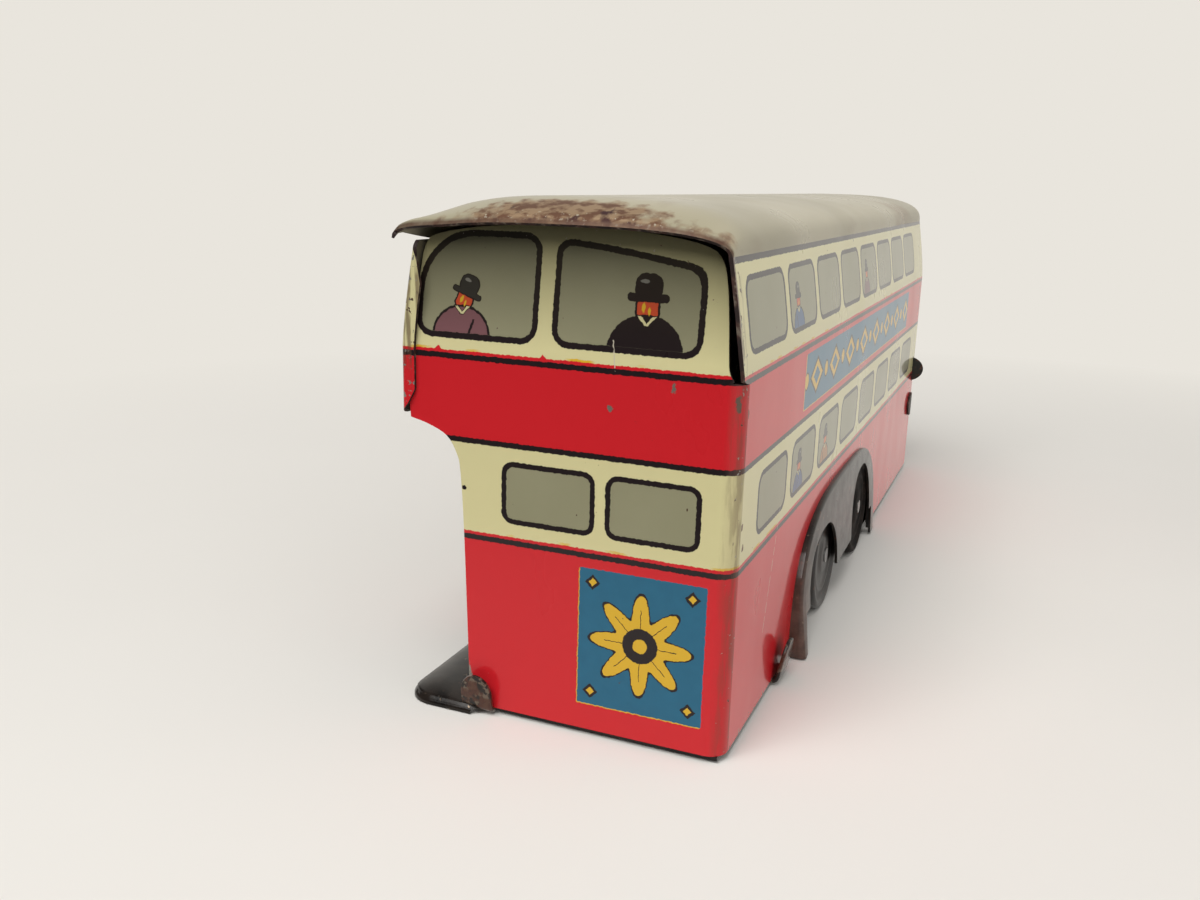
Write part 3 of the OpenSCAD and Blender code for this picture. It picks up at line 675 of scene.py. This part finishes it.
def through(points, steps=4):
    """A smooth line through a few places."""
    line = []
    ends = [points[0]] + list(points) + [points[-1]]
    for a, b, c, d in zip(ends, ends[1:], ends[2:], ends[3:]):
        for i in range(steps):
            t = i / steps
            line.append(tuple(
                0.5 * (2 * q + (r - p) * t + (2 * p - 5 * q + 4 * r - s) * t * t
                       + (3 * q - p - 3 * r + s) * t ** 3) for p, q, r, s in zip(a, b, c, d)))
    return line + [tuple(points[-1])]


print("eight sheet tools")

# %% [markdown]
# Every mesh becomes a piece of the bus in the same few steps. Solidify and a small bevel could stay
# as modifiers; here they are settled into plain faces before the piece takes over from its solid.

# %% From mesh to piece
def piece(name, bm, finishes, nodes, thick=0.0, body="bus", bevel=0.0,
          sharp=38):
    """Turns a mesh into a finished piece that rides on a body of the bus."""
    mesh = bpy.data.meshes.new(name)
    bm.to_mesh(mesh)
    bm.free()
    for finish in finishes:
        mesh.materials.append(finish)
    made = added(name, mesh)
    if thick:
        sheet = made.modifiers.new("sheet", "SOLIDIFY")
        sheet.thickness, sheet.offset, sheet.use_even_offset = thick * MM, -1, True
        sheet.material_offset = min(1, len(finishes) - 1)
        sheet.material_offset_rim = len(finishes) - 1
    if bevel:
        soft = made.modifiers.new("soft edge", "BEVEL")
        soft.width, soft.segments, soft.limit_method = bevel * MM, 2, "ANGLE"
        soft.angle_limit = radians(50)
    bpy.context.view_layer.update()
    settled = made.evaluated_get(bpy.context.evaluated_depsgraph_get())
    final = bpy.data.meshes.new_from_object(settled)
    made.modifiers.clear()
    made.data = final
    final.name = name
    final.shade_smooth()
    final.set_sharp_from_angle(angle=radians(sharp))
    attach(made, body)
    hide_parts(*nodes)
    print("made", name, "with", len(final.polygons), "faces")


def tin_piece(name, bm, finish, node):
    piece(name, bm, [finish, INNER_TIN, RAW_EDGE], [node], TIN)


print("tin is", TIN, "mm thick")

# %% [markdown]
# The offside is the plainest sheet: a long wall with the wheel arch cut out of its lower edge and
# two slots for the tongues of the front panel. Its rear edge meets the rear panel in the fold below
# the upper deck and stands free above it.

# %% Offside
FOLD, ARCH_POWER = 1.8, 3.2
WALL_CUTS = [4.0 * i for i in range(1, 9)] + [35.0 + i for i in range(10)]


def squarish(share, power):
    """A place on a half-round drawn out towards a square: across and up."""
    across, up = -cos(pi * share), sin(pi * share)
    return copysign(abs(across) ** (2 / power), across), abs(up) ** (2 / power)


def arch(half, height, count=32):
    places = [squarish(i / count, ARCH_POWER) for i in range(1, count)]
    line = [(SPAT_X + half * across, height * up) for across, up in places]
    return [(SPAT_X - half, 0.0)] + line + [(SPAT_X + half, 0.0)]


def punch_slots(bm):
    for low, high in ((15.9, 20.5), (9.7, 13.9)):
        punch(bm, LENGTH - 1.9, LENGTH - 1.35, low, high)


WHEEL_ARCH = arch(25.8, 14.1)
rear_run = through([(FOLD, DECK - 0.3), (0.3, DECK + 0.1), (-0.1, DECK + 0.9), (-0.4, DECK + 2.0),
                    (-AWNING, 38.0)])
top_run = [(-AWNING, ROOF_LINE), (LENGTH, ROOF_LINE), (LENGTH, 0.0)]
offside = blank([(FOLD, 0.0)] + rear_run + top_run + WHEEL_ARCH[::-1])
score(offside, 1, WALL_CUTS)
score(offside, 0, [2.0, 5.0, 10.0, 20.0, 85.0, 95.0, 105.0])
punch_slots(offside)
fold(offside, lambda x, z: spot(x, -half_width(z), z), (0, -1, 0))
tin_piece("offside_sheet", offside, SIDE_PRINT, "body_shell")

# %% [markdown]
# The rear panel is the end of the same blank, turned round the offside corner. Below the upper deck
# it stands straight; above, it leans forward under the roof and leaves a dark slit beside the side
# wall. Its free edges are smooth lines through a few measured places.

# %% Rear panel
EDGE = HALF_W - FOLD
FOLD_END = -EDGE - FOLD * pi / 2
free_edge = through([
    (-15.62, 34.45), (-15.15, 35.3), (-14.95, 36.9), (-14.7, 39.6), (-14.35, 42.3), (-13.8, 44.2),
    (-12.5, 45.3), (-8.6, 46.05), (-2.8, 46.5), (2.9, 46.5), (8.9, 46.1), (13.4, 45.3),
    (14.6, 44.3), (15.0, 42.0), (15.4, 38.0), (15.65, 34.4), (15.8, 29.4)], 3)
door_edge = through([
    (15.7, 28.2), (13.7, 27.7), (11.8, 26.8), (10.75, 25.2), (10.36, 23.4), (10.0, 17.6),
    (9.5, 3.6), (9.4, 0.0)], 4)


def rear_place(w, z):
    narrow = half_width(z) / HALF_W
    lean = max(0.0, z - DECK)
    x = PANEL_LEAN * lean * lean / (lean + 0.4) / 12.0
    if w >= -EDGE or z > DECK + 0.3:
        return spot(x, w * narrow, z)
    along, inward = curled(-EDGE - w, 0.0, FOLD, pi / 2)
    return spot(inward, -(EDGE + along) * narrow, z)


outline = [(y * HALF_W / half_width(z), z) for y, z in free_edge + door_edge]
rear = blank([(FOLD_END, 0.0), (FOLD_END, DECK - 0.3), (-EDGE - 0.75, DECK - 0.1)] + outline)
score(rear, 1, [2.0 * i for i in range(1, 18)] + [DECK, 34.7, 35.2, 36.0, 38.0, 40.0, 42.0, 44.0])
score(rear, 0, [-EDGE - FOLD * pi / 2 * i / 6 for i in range(6)] + [-8.0, 0.0, 8.0])
fold(rear, rear_place, (-1, 0, 0))
tin_piece("rear_sheet", rear, REAR_PRINT, "body_shell")

# %% [markdown]
# The nearside has the doorway, and a narrow flange that is folded over the rear panel's edge to
# hold it. The flange is cut off slantwise at its lower end.

# %% Nearside
TURN, TURN_X, FLANGE = 0.5, 0.15, 0.95
FLAT_END = TURN_X - TURN * pi / 2


def nearside_place(e, z):
    along, inward = curled(TURN_X - e, 0.0, TURN, pi / 2)
    return spot(TURN_X - along, half_width(z) - inward, z)


doorway = through([(14.0, DOOR_H), (16.4, 28.05), (17.6, 26.3), (18.0, 23.6)])
flange_top = through([(TURN_X + 0.1, 44.6), (FLAT_END, 43.4), (FLAT_END - 0.5, 42.2),
                      (FLAT_END - FLANGE, 40.8)])
flange_foot = through([(FLAT_END - FLANGE, 31.0), (FLAT_END - 0.45, 30.0), (FLAT_END + 0.1, 29.2),
                       (TURN_X, 28.6)])
top_run = [(LENGTH, 0.0), (LENGTH, ROOF_LINE), (TURN_X + 0.2, ROOF_LINE)]
nearside = blank(top_run + flange_top + flange_foot + doorway + [(DOOR_L, 0.0)] + WHEEL_ARCH)
score(nearside, 1, WALL_CUTS)
turn_cuts = [TURN_X - TURN * pi / 2 * i / 5 for i in range(6)]
score(nearside, 0, turn_cuts + [5.0, 20.0, 85.0, 95.0, 105.0])
punch_slots(nearside)
fold(nearside, nearside_place, (0, 1, 0))
tin_piece("nearside_sheet", nearside, SIDE_PRINT, "body_shell")

# %% [markdown]
# The roof is the middle of the blank, bent to a flat crown. Its cross-section is drawn once as a
# string of edges and pulled along the bus. At the rear it reaches out as a small awning with its rim
# turned down, and the nearside corner has come loose and stands out like a brim.

# %% Roof
ROOF_POWER, BRIM_OUT, BRIM_UP = 2.8, 1.9, 0.85
ROOF_CUTS = (-0.45, -0.2, 0.2, 0.7, 1.3, 2.0, 2.8, 3.7, 5.0, 7.0, 10.0, 16.0, 26.0, 46.0, 66.0, 86.0,
             102.0, LENGTH)


def string(bm, places, closed=False):
    """A string of edges through some places; gives its corners and its edges."""
    beads = [bm.verts.new(place) for place in places]
    after = beads[1:] + (beads[:1] if closed else [])
    return beads, [bm.edges.new(pair) for pair in zip(beads, after)]


def pull(bm, edges, way):
    """Pulls a string of edges into a strip of faces; gives its far edges."""
    out = bmesh.ops.extrude_edge_only(bm, edges=edges)["geom"]
    moved = {g for g in out if isinstance(g, bmesh.types.BMVert)}
    bmesh.ops.translate(bm, verts=list(moved), vec=way)
    return [g for g in out if isinstance(g, bmesh.types.BMEdge) and moved.issuperset(g.verts)]


def roof_section(count=28):
    """Places across the roof, each with its share of the rise."""
    places = [squarish(i / count, ROOF_POWER) for i in range(count + 1)]
    return [(across * (HALF_W - LEAN_IN), share) for across, share in places]


def roof_rise(x):
    return ROOF_RISE - (ROOF_RISE - RIM_RISE) * (max(0.0, PEAK_L - x) / (PEAK_L + AWNING)) ** 2


roof = bmesh.new()
_, edges = string(roof, [(-AWNING, y, share) for y, share in roof_section(36)])
for last, x in zip((-AWNING,) + ROOF_CUTS, ROOF_CUTS):
    edges = pull(roof, edges, (x - last, 0, 0))
for v in roof.verts:
    x, y, share = v.co
    loose = max(0.0, (3.7 - x) / 4.3) ** 1.4 * max(0.0, (y - 10.5) / 4.5) ** 2
    droop = (0.3 + 0.45 * min(loose, 1.0)) * max(0.0, (0.2 - x) / 0.8) ** 2
    height = ROOF_LINE + roof_rise(x) * share
    v.co = spot(x, y + BRIM_OUT * loose, height + BRIM_UP * loose - droop)
face_out(roof, (0, 0, 1))
tin_piece("roof_sheet", roof, ROOF_PAINT, "body_shell")

# %% [markdown]
# Each spat is a shallow black pressing over two wheels. Its outline is a wider copy of the arch in the
# body, with two wheel openings that are squarer behind the wheel than ahead of it. They could be cut
# out of a finished pressing; it is simpler to have them in the outline from the start.

# %% Spat outline
REAR_OPENING, FRONT_OPENING, OPENING_FOOT = (39.0, 9.2, 7.1, 7.2), (65.4, 8.8, 8.8, 8.6), 4.0


def on_arch(x, z):
    across, up = abs(x - SPAT_X) / (SPAT_L / 2), max(0.0, z) / SPAT_H
    return across ** ARCH_POWER + up ** ARCH_POWER > 0.98


def opening(x, back, ahead, height, count=18):
    """The line over one wheel, from back to front."""
    line = []
    for i in range(count + 1):
        behind = i <= count / 2
        across, up = squarish(i / count, 2.8 if behind else 2.0)
        line.append((x + across * (back if behind else ahead), OPENING_FOOT + height * up))
    return line


def spat_outline():
    rear_foot = [(27.2, -0.5), (27.8, OPENING_FOOT)]
    front_foot = [(76.6, OPENING_FOOT), (76.6, -0.3), (79.5, -0.3)]
    cut = rear_foot + opening(*REAR_OPENING) + opening(*FRONT_OPENING) + front_foot
    return cut + arch(SPAT_L / 2, SPAT_H)[::-1] + [(25.5, -0.5)]


print("spat outline with", len(spat_outline()), "corners")

# %% [markdown]
# The arched rim is pulled back to the body and its edge rounded, as a press leaves it. The face
# stands furthest off at its rear foot. The nearside spat has the keyhole.

# %% Wheel spats
def soften(bm, edges, offset, segments):
    """Rounds a string of edges."""
    bmesh.ops.bevel(bm, geom=edges, offset=offset, offset_type="OFFSET", segments=segments,
                    profile=0.5, affect="EDGES", material=-1)


def spat_depth(x, z):
    """How far the face stands off the side of the body."""
    foot = max(0.0, 1 - (x - 26) / 9) * max(0.0, 1 - z / 6)
    return 1.4 + 0.5 * foot - 0.05 * z - 0.4 * max(0.0, x - 45) / 34


def keyhole(bm, x, z, radius):
    """Cuts out a square round the hole and fills it again up to a circle."""
    score(bm, 0, (x - radius - 0.3, x + radius + 0.3))
    score(bm, 1, (z - radius - 0.3, z + radius + 0.3))
    middle = min((f for f in bm.faces if f.calc_center_median().z < 0.01),
                 key=lambda f: (f.calc_center_median() - Vector((x, z, 0))).length)
    frame_edges = middle.edges[:]
    bmesh.ops.delete(bm, geom=[middle], context="FACES_ONLY")
    circle = arc(x, z, radius, radius, 0, 360, 24)[:-1]
    _, ring = string(bm, [(u, v, 0) for u, v in circle], closed=True)
    bmesh.ops.bridge_loops(bm, edges=frame_edges + ring)


def wheel_spat(side):
    bm = blank(spat_outline())
    rim = [e for e in bm.edges if all(on_arch(v.co.x, v.co.y) for v in e.verts)]
    pull(bm, rim, (0, 0, 1))
    soften(bm, rim, 0.4, 4)
    if side > 0:
        keyhole(bm, 54.5, 9.5, 2.2)
    for v in bm.verts:
        x, z, back = v.co
        x -= 2.5 * max(0.0, (x - 60) / 19.5)
        v.co = spot(x, side * (half_width(z) + spat_depth(x, z) * (1 - back)), z)
    face_out(bm, (0, side, 0), mixed=True)
    return bm


for word, side in SIDES:
    node = word + "_spat"
    piece(node + "_tin", wheel_spat(side), [SPAT_BLACK], [node], TIN)

# %% [markdown]
# The base is a black plate with wells for the wheels. At the doorway it sticks out as the platform,
# whose edge is turned down in a soft round lip: the edge is pulled down and then bevelled. The
# platform is a little domed, so it is scored into small squares and lifted.

# %% Base plate
WELL, WELL_BACK, WELL_FRONT, OFF_EDGE, NEAR_EDGE = 13.4, 35.2, 73.8, -15.95, 16.2
PLATFORM, CORNER, STEP, BASE_T, DOME = 16.4, 3.0, 1.2, 0.4, 0.75


def well(edge, inner):
    return [(WELL_BACK, edge), (WELL_BACK, inner), (WELL_FRONT, inner), (WELL_FRONT, edge)]


def on_lip(x, y):
    return x < 18.1 and (x < -1.1 or y > 16.3 or x < 1.8 and y > 13.3)


def dome(x, y):
    """How far the platform is beaten up above the plate."""
    edge = max(0.0, min(x + STEP, PLATFORM - y, (DOOR_L - x) / 3, (y - 9.0) / 1.2))
    return DOME * min(1.0, edge / 2.4) ** 0.6


plate_line = [(0.25, OFF_EDGE)] + well(OFF_EDGE, -WELL) + [(LENGTH, OFF_EDGE), (LENGTH, NEAR_EDGE)]
plate_line += well(NEAR_EDGE, WELL)[::-1] + [(DOOR_L, NEAR_EDGE), (DOOR_L, PLATFORM)]
plate_line += arc(CORNER - STEP, PLATFORM - CORNER, CORNER, CORNER, 90, 180, 10)
base = blank(plate_line + [(-STEP, 8.75), (0.25, 6.45)])
lip = [e for e in base.edges if all(on_lip(v.co.x, v.co.y) for v in e.verts)]
pull(base, lip, (0, 0, -0.6))
soften(base, lip, 0.45, 5)
score(base, 0, (-0.47, 0.24, 1.1, 2.5, 4.5, 7.0, 10.0, 13.0, 16.0))
score(base, 1, (9.4, 10.6, 12.0, 13.1, 14.1, 15.34))
for v in base.verts:
    x, y, z = v.co
    v.co = spot(x, y, z + (dome(x, y) if x < DOOR_L and z > -0.05 else 0.0))
face_out(base, (0, 0, 1), mixed=True)
piece("base_tin", base, [BLACK], ["base_plate"], BASE_T)

# %% [markdown]
# Four tongues of the base are bent up outside the body to hold it. Each is a strip with a round end,
# scored and curled round a small radius, and leans away from the wall a little.

# %% Bent-up tongues
def round_strip(width, length, count=16):
    """A strip with a round end, drawn from its foot."""
    half, straight = width / 2, length - width * 0.62
    tip = arc(0.0, straight, half, length - straight, 0, 180, count)
    return [(half, 0.0)] + tip + [(-half, 0.0)]


def bent_tongue(name, width, rise, place, outward, finish):
    turn, radius, flat = radians(80), 0.8, 1.2
    bm = blank(round_strip(width, flat + radius * turn + rise))
    score(bm, 1, [flat + radius * turn * i / 6 for i in range(7)] + [3.2, 4.2, 5.2])

    def bend(a, b):
        out, up = curled(b, flat, radius, turn)
        return spot(*place(a, out - flat, up - BASE_T))
    fold(bm, bend, outward)
    piece(name, bm, [finish], ["base_plate"], BASE_T, bevel=0.09)


bent_tongue("rear_tongue", 3.3, 3.3, lambda a, o, z: (-o, 8.25 + a, z),
            (-1, 0, -0.2), WORN_BLACK)
bent_tongue("offside_tongue", 4.4, 3.8, lambda a, o, z: (20.16 + a, -HALF_W - o, z),
            (0, -1, -0.2), WORN_BLACK)
bent_tongue("nearside_tongue", 4.4, 3.8, lambda a, o, z: (103.2 + a, HALF_W + o, z),
            (0, 1, -0.2), BLACK)
bent_tongue("front_tongue", 4.4, 3.8, lambda a, o, z: (LENGTH + o, a, z),
            (1, 0, -0.2), BLACK)

# %% [markdown]
# The front is a separate pressing pushed into the body: a printed face with a flange all round but
# below. It is made like the spats: the face is cut, the flange pulled back, and the seam rounded.

# %% Front panel
INSET, FLANGE_L = 0.4, 3.2


def front_line():
    heights = [0.0, 12.0, 24.0] + [35.0 + 9.7 * i / 8 for i in range(9)]
    wall = [(half_width(z) - INSET, z) for z in heights]
    narrow = (HALF_W - LEAN_IN - INSET) / (HALF_W - LEAN_IN)
    crown = [(y * narrow, ROOF_LINE + (ROOF_RISE - INSET) * share) for y, share in roof_section()][::-1]
    return wall + crown[1:-1] + [(-y, z) for y, z in wall[::-1]]


front = blank(front_line())
seam = [e for e in front.edges if not all(v.co.y < 1e-4 for v in e.verts)]
pull(front, seam, (0, 0, -FLANGE_L))
soften(front, seam, 0.45, 4)
for v in front.verts:
    v.co = spot(LENGTH + v.co.z, v.co.x, v.co.y)
face_out(front, (1, 0, 0), mixed=True)
tin_piece("front_sheet", front, FRONT_PRINT, "front_panel")

# %% [markdown]
# The tongues of the front panel pass through slots in the sides. The lower ones are folded flat, the
# upper ones have been left standing out. One more folded tongue, by the rear panel, is the body's own.

# %% Front tongues
def standing_tongue(name, side):
    bm = blank(round_strip(4.4, 3.4))
    score(bm, 1, (1.0, 2.0))
    fold(bm, lambda a, b: spot(LENGTH - 1.8 + 0.03 * b * b, side * (15.0 + b), 18.2 + a), (-1, 0, 0))
    piece(name, bm, [SHADE_DARK_TIN, SHADE_DARK_TIN, RAW_EDGE], ["front_panel"], TIN)


def folded_tongue(name, side, x, z, width, way, reach, node, finish):
    turn, radius, flat = radians(90), 0.35, 1.5
    bm = blank(round_strip(width, flat + radius * turn + reach))
    score(bm, 1, [flat + radius * turn * i / 5 for i in range(6)])
    wall = half_width(z) - 1.45

    def bend(a, b):
        out, along = curled(b, flat, radius, turn)
        return spot(x + way * along, side * (wall + out), z + a)
    fold(bm, bend, (0, side, 0))
    tin_piece(name, bm, finish, node)


# Painted shade: this tin is painted dark for the standing tongues, which stand in shadow against the
# light; the folded tongues take the same finish. The rust specks on it are real.
def shade_dark_tin():
    press = Press("shade_dark_tin", colour(40, 39, 35))
    press.ink(colour(22, 26, 24), press.grain(1.2, 4.0))
    press.ink(RUST, inside(press.grain(0.8, 4.0, shift=2.0) - 0.4, 0.08) * 0.7)
    return press.varnish(0.4 + press.grain(0.6) * 0.3, 0.0, press.grain(0.5, 3.0), 0.04, 0.2)


SHADE_DARK_TIN = shade_dark_tin()
for word, side in SIDES:
    standing_tongue(word + "_standing_tongue", side)
    folded_tongue(word + "_folded_tongue", side, LENGTH - 1.5, 11.8, 4.0, -1, 3.2, "front_panel",
                  SHADE_DARK_TIN)
folded_tongue("rear_panel_tongue", 1, 1.0, 34.9, 3.8, 1, 1.4, "body_shell", SIDE_PRINT)

# %% [markdown]
# The wheels are pressed tin, turned from one section: a rolled rim, a dished face with one raised
# ring and a small hub. Spin turns the section once round the axle and joins the ends. The rear pair
# is a little glossy; the front pair is dull, and its darker colour is painted shade for wheels that
# sit in the shadow of the spats.

# %% Wheels
WHEEL_IN = 14.4
WHEEL_SECTION = [
    (0.92, 0.45), (1.9, 0.45), (1.9, 1.5), (6.25, 1.5), (6.25, 0.0), (6.7, 0.0), (6.7, 1.9),
    (6.62, 2.2), (6.4, 2.38), (6.05, 2.38), (5.8, 2.2), (5.55, 1.95), (4.9, 1.95), (4.65, 2.12),
    (4.35, 2.12), (4.1, 1.95), (2.6, 1.95), (2.3, 2.15), (1.7, 2.25), (0.92, 2.25)]


def tin_wheel(node, x, side, body, finish):
    bm = bmesh.new()
    section = [spot(x, side * (WHEEL_IN + a), AXLE_Z + r) for r, a in WHEEL_SECTION]
    ring, edges = string(bm, section, closed=True)
    bmesh.ops.spin(bm, geom=ring + edges, cent=spot(x, 0, AXLE_Z), axis=(0, 1, 0),
                   angle=2 * pi, steps=72, use_merge=True, use_duplicate=False)
    bmesh.ops.remove_doubles(bm, verts=bm.verts[:], dist=1e-6)
    bmesh.ops.recalc_face_normals(bm, faces=bm.faces[:])
    piece(node + "_tin", bm, [finish], [node], body=body, sharp=50)


for word, x, finish in zip(("rear", "front"), AXLES, (WHEEL_BLACK, WHEEL_DULL_SHADED)):
    for place, side in SIDES:
        tin_wheel(word + "_wheel_" + place, x, side, word + "_axle_set", finish)

# %% [markdown]
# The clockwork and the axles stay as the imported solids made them, since gears and shafts are exact
# there. They only need metal: brushed steel, dull brass with brown tarnish, and blued spring steel.

# %% Metals for the clockwork
def worked_metal(name, shade, dark, rough):
    press = Press(name, shade)
    press.ink(dark, press.grain(5.0, 5.0, shift=1.0) * 0.8)
    brushed = press.grain(0.9, 3.0, stretch=(1, 1, 14))
    press.ink(dark, inside(press.grain(1.4, 5.0, shift=6.0) - 0.36, 0.1) * 0.7)
    return press.varnish(rough + brushed * 0.2, 0.0, brushed, 0.02, 0.95)


METALS = {
    "steel": worked_metal("brushed_steel", colour(176, 176, 178), colour(122, 116, 108), 0.26),
    "brass": worked_metal("dull_brass", colour(196, 160, 92), colour(120, 88, 50), 0.3),
    "spring_steel": worked_metal("blued_spring", colour(74, 80, 104), colour(44, 44, 56), 0.24)}
for row in frame["record"]["subparts"]:
    if row["material_slot"] in METALS:
        for holder in frame["nodes"][row["node"]].material_slots:
            holder.material = METALS[row["material_slot"]]
print("metal finishes:", sorted(METALS))

# %% [markdown]
# The toy stands on a sheet of white paper that curves up far ahead of it, so that there is no line
# between table and wall. One line is drawn from the side and pulled across. The sheet ends a little
# behind the rear panel, whose varnish would mirror it. Far off it glows for the camera and for
# mirrors; more lamps would whiten it too, but they would spoil the shadows by the toy.

# %% Paper
PALE, GLOW_X, GLOW_Y = colour(233, 229, 221), 40.0, -45.0
SEEN, SEEN_SOFT, MIRROR, MIRROR_SOFT = 150.0, 180.0, 60.0, 100.0
PAPER_END, PAPER_BEND, BEND_R, PAPER_TOP, PAPER_HALF = -0.11, 0.5, 0.4, 1.6, 2.0


def bright_paper():
    press = Press("paper", colour(222, 220, 216))
    press.ink(colour(228, 226, 222), press.grain(60.0, 2.0))
    finish = press.varnish(0.85 + press.grain(4.0) * 0.1)
    nodes, links = press.tree.nodes, press.tree.links
    x, y, _ = press.drawing(0)
    ray = nodes.new("ShaderNodeLightPath")
    looked_at, mirrored = Wire(ray.outputs["Is Camera Ray"]), Wire(ray.outputs["Is Glossy Ray"])
    glow, mix = nodes.new("ShaderNodeEmission"), nodes.new("ShaderNodeMixShader")
    glow.inputs["Color"].default_value = PALE
    away = reach_of(x - GLOW_X, y - GLOW_Y)
    press.feed(mix.inputs[0], larger(looked_at * inside(SEEN - away, SEEN_SOFT),
                                     mirrored * inside(MIRROR - away, MIRROR_SOFT)))
    links.new(press.shader.outputs[0], mix.inputs[1])
    links.new(glow.outputs[0], mix.inputs[2])
    links.new(mix.outputs[0], nodes["Material Output"].inputs["Surface"])
    return finish


sweep = bmesh.new()
curve = arc(PAPER_BEND, BEND_R, BEND_R, BEND_R, -90, 0, 12)
line = [(PAPER_END, 0.0)] + curve + [(PAPER_BEND + BEND_R, PAPER_TOP)]
_, edges = string(sweep, [(x, -PAPER_HALF, z) for x, z in line])
pull(sweep, edges, (0, 2 * PAPER_HALF, 0))
sheet = bpy.data.meshes.new("paper_sweep")
sweep.to_mesh(sheet)
sweep.free()
sheet.shade_smooth()
sheet.materials.append(bright_paper())
paper = added("paper_sweep", sheet)
print("paper with", len(sheet.polygons), "faces")

# %% [markdown]
# The light is soft: a room, bright ahead and on the offside and dark behind on the nearside, and one
# soft box high behind the bus. The varnish of the rear panel mirrors the dark part, which keeps its
# black lines black, while the offside mirrors the bright paper. The camera sees a plain pale wall
# past the paper.

# %% Light
AHEAD_GAIN, OFFSIDE_GAIN, ABOVE_GAIN, ALL_ROUND, DARKEST = 0.4, 0.78, 0.15, 0.32, 0.08
scene.view_settings.view_transform = "Standard"
world = bpy.data.worlds.new("soft room")
scene.world = world
world.use_nodes = True
tree = world.node_tree
link = tree.links.new
room = tree.nodes["Background"]
room.inputs["Color"].default_value = (1.0, 0.985, 0.965, 1)
way = tree.nodes.new("ShaderNodeSeparateXYZ")
link(tree.nodes.new("ShaderNodeTexCoord").outputs["Generated"], way.inputs[0])
forward, nearward, upward = (Wire(part) for part in way.outputs)
strength = forward * AHEAD_GAIN - nearward * OFFSIDE_GAIN + upward * ABOVE_GAIN + ALL_ROUND
link(larger(strength, DARKEST).socket, room.inputs["Strength"])
kinds = ("Background", "MixShader", "LightPath")
seen, mix, ray = (tree.nodes.new("ShaderNode" + kind) for kind in kinds)
seen.inputs["Color"].default_value = PALE
link(ray.outputs["Is Camera Ray"], mix.inputs[0])
link(room.outputs[0], mix.inputs[1])
link(seen.outputs[0], mix.inputs[2])
link(mix.outputs[0], tree.nodes["World Output"].inputs["Surface"])
lamp = bpy.data.lights.new("soft box", "AREA")
lamp.size, lamp.energy, lamp.color = 0.5, 4.9, (1.0, 0.985, 0.96)
hung = added("soft box", lamp)
hung.location = (-0.42, 0.08, 0.6)
hung.rotation_euler = (-hung.location).to_track_quat("-Z", "Y").to_euler()
print("soft box of", round(lamp.energy, 1), "W")
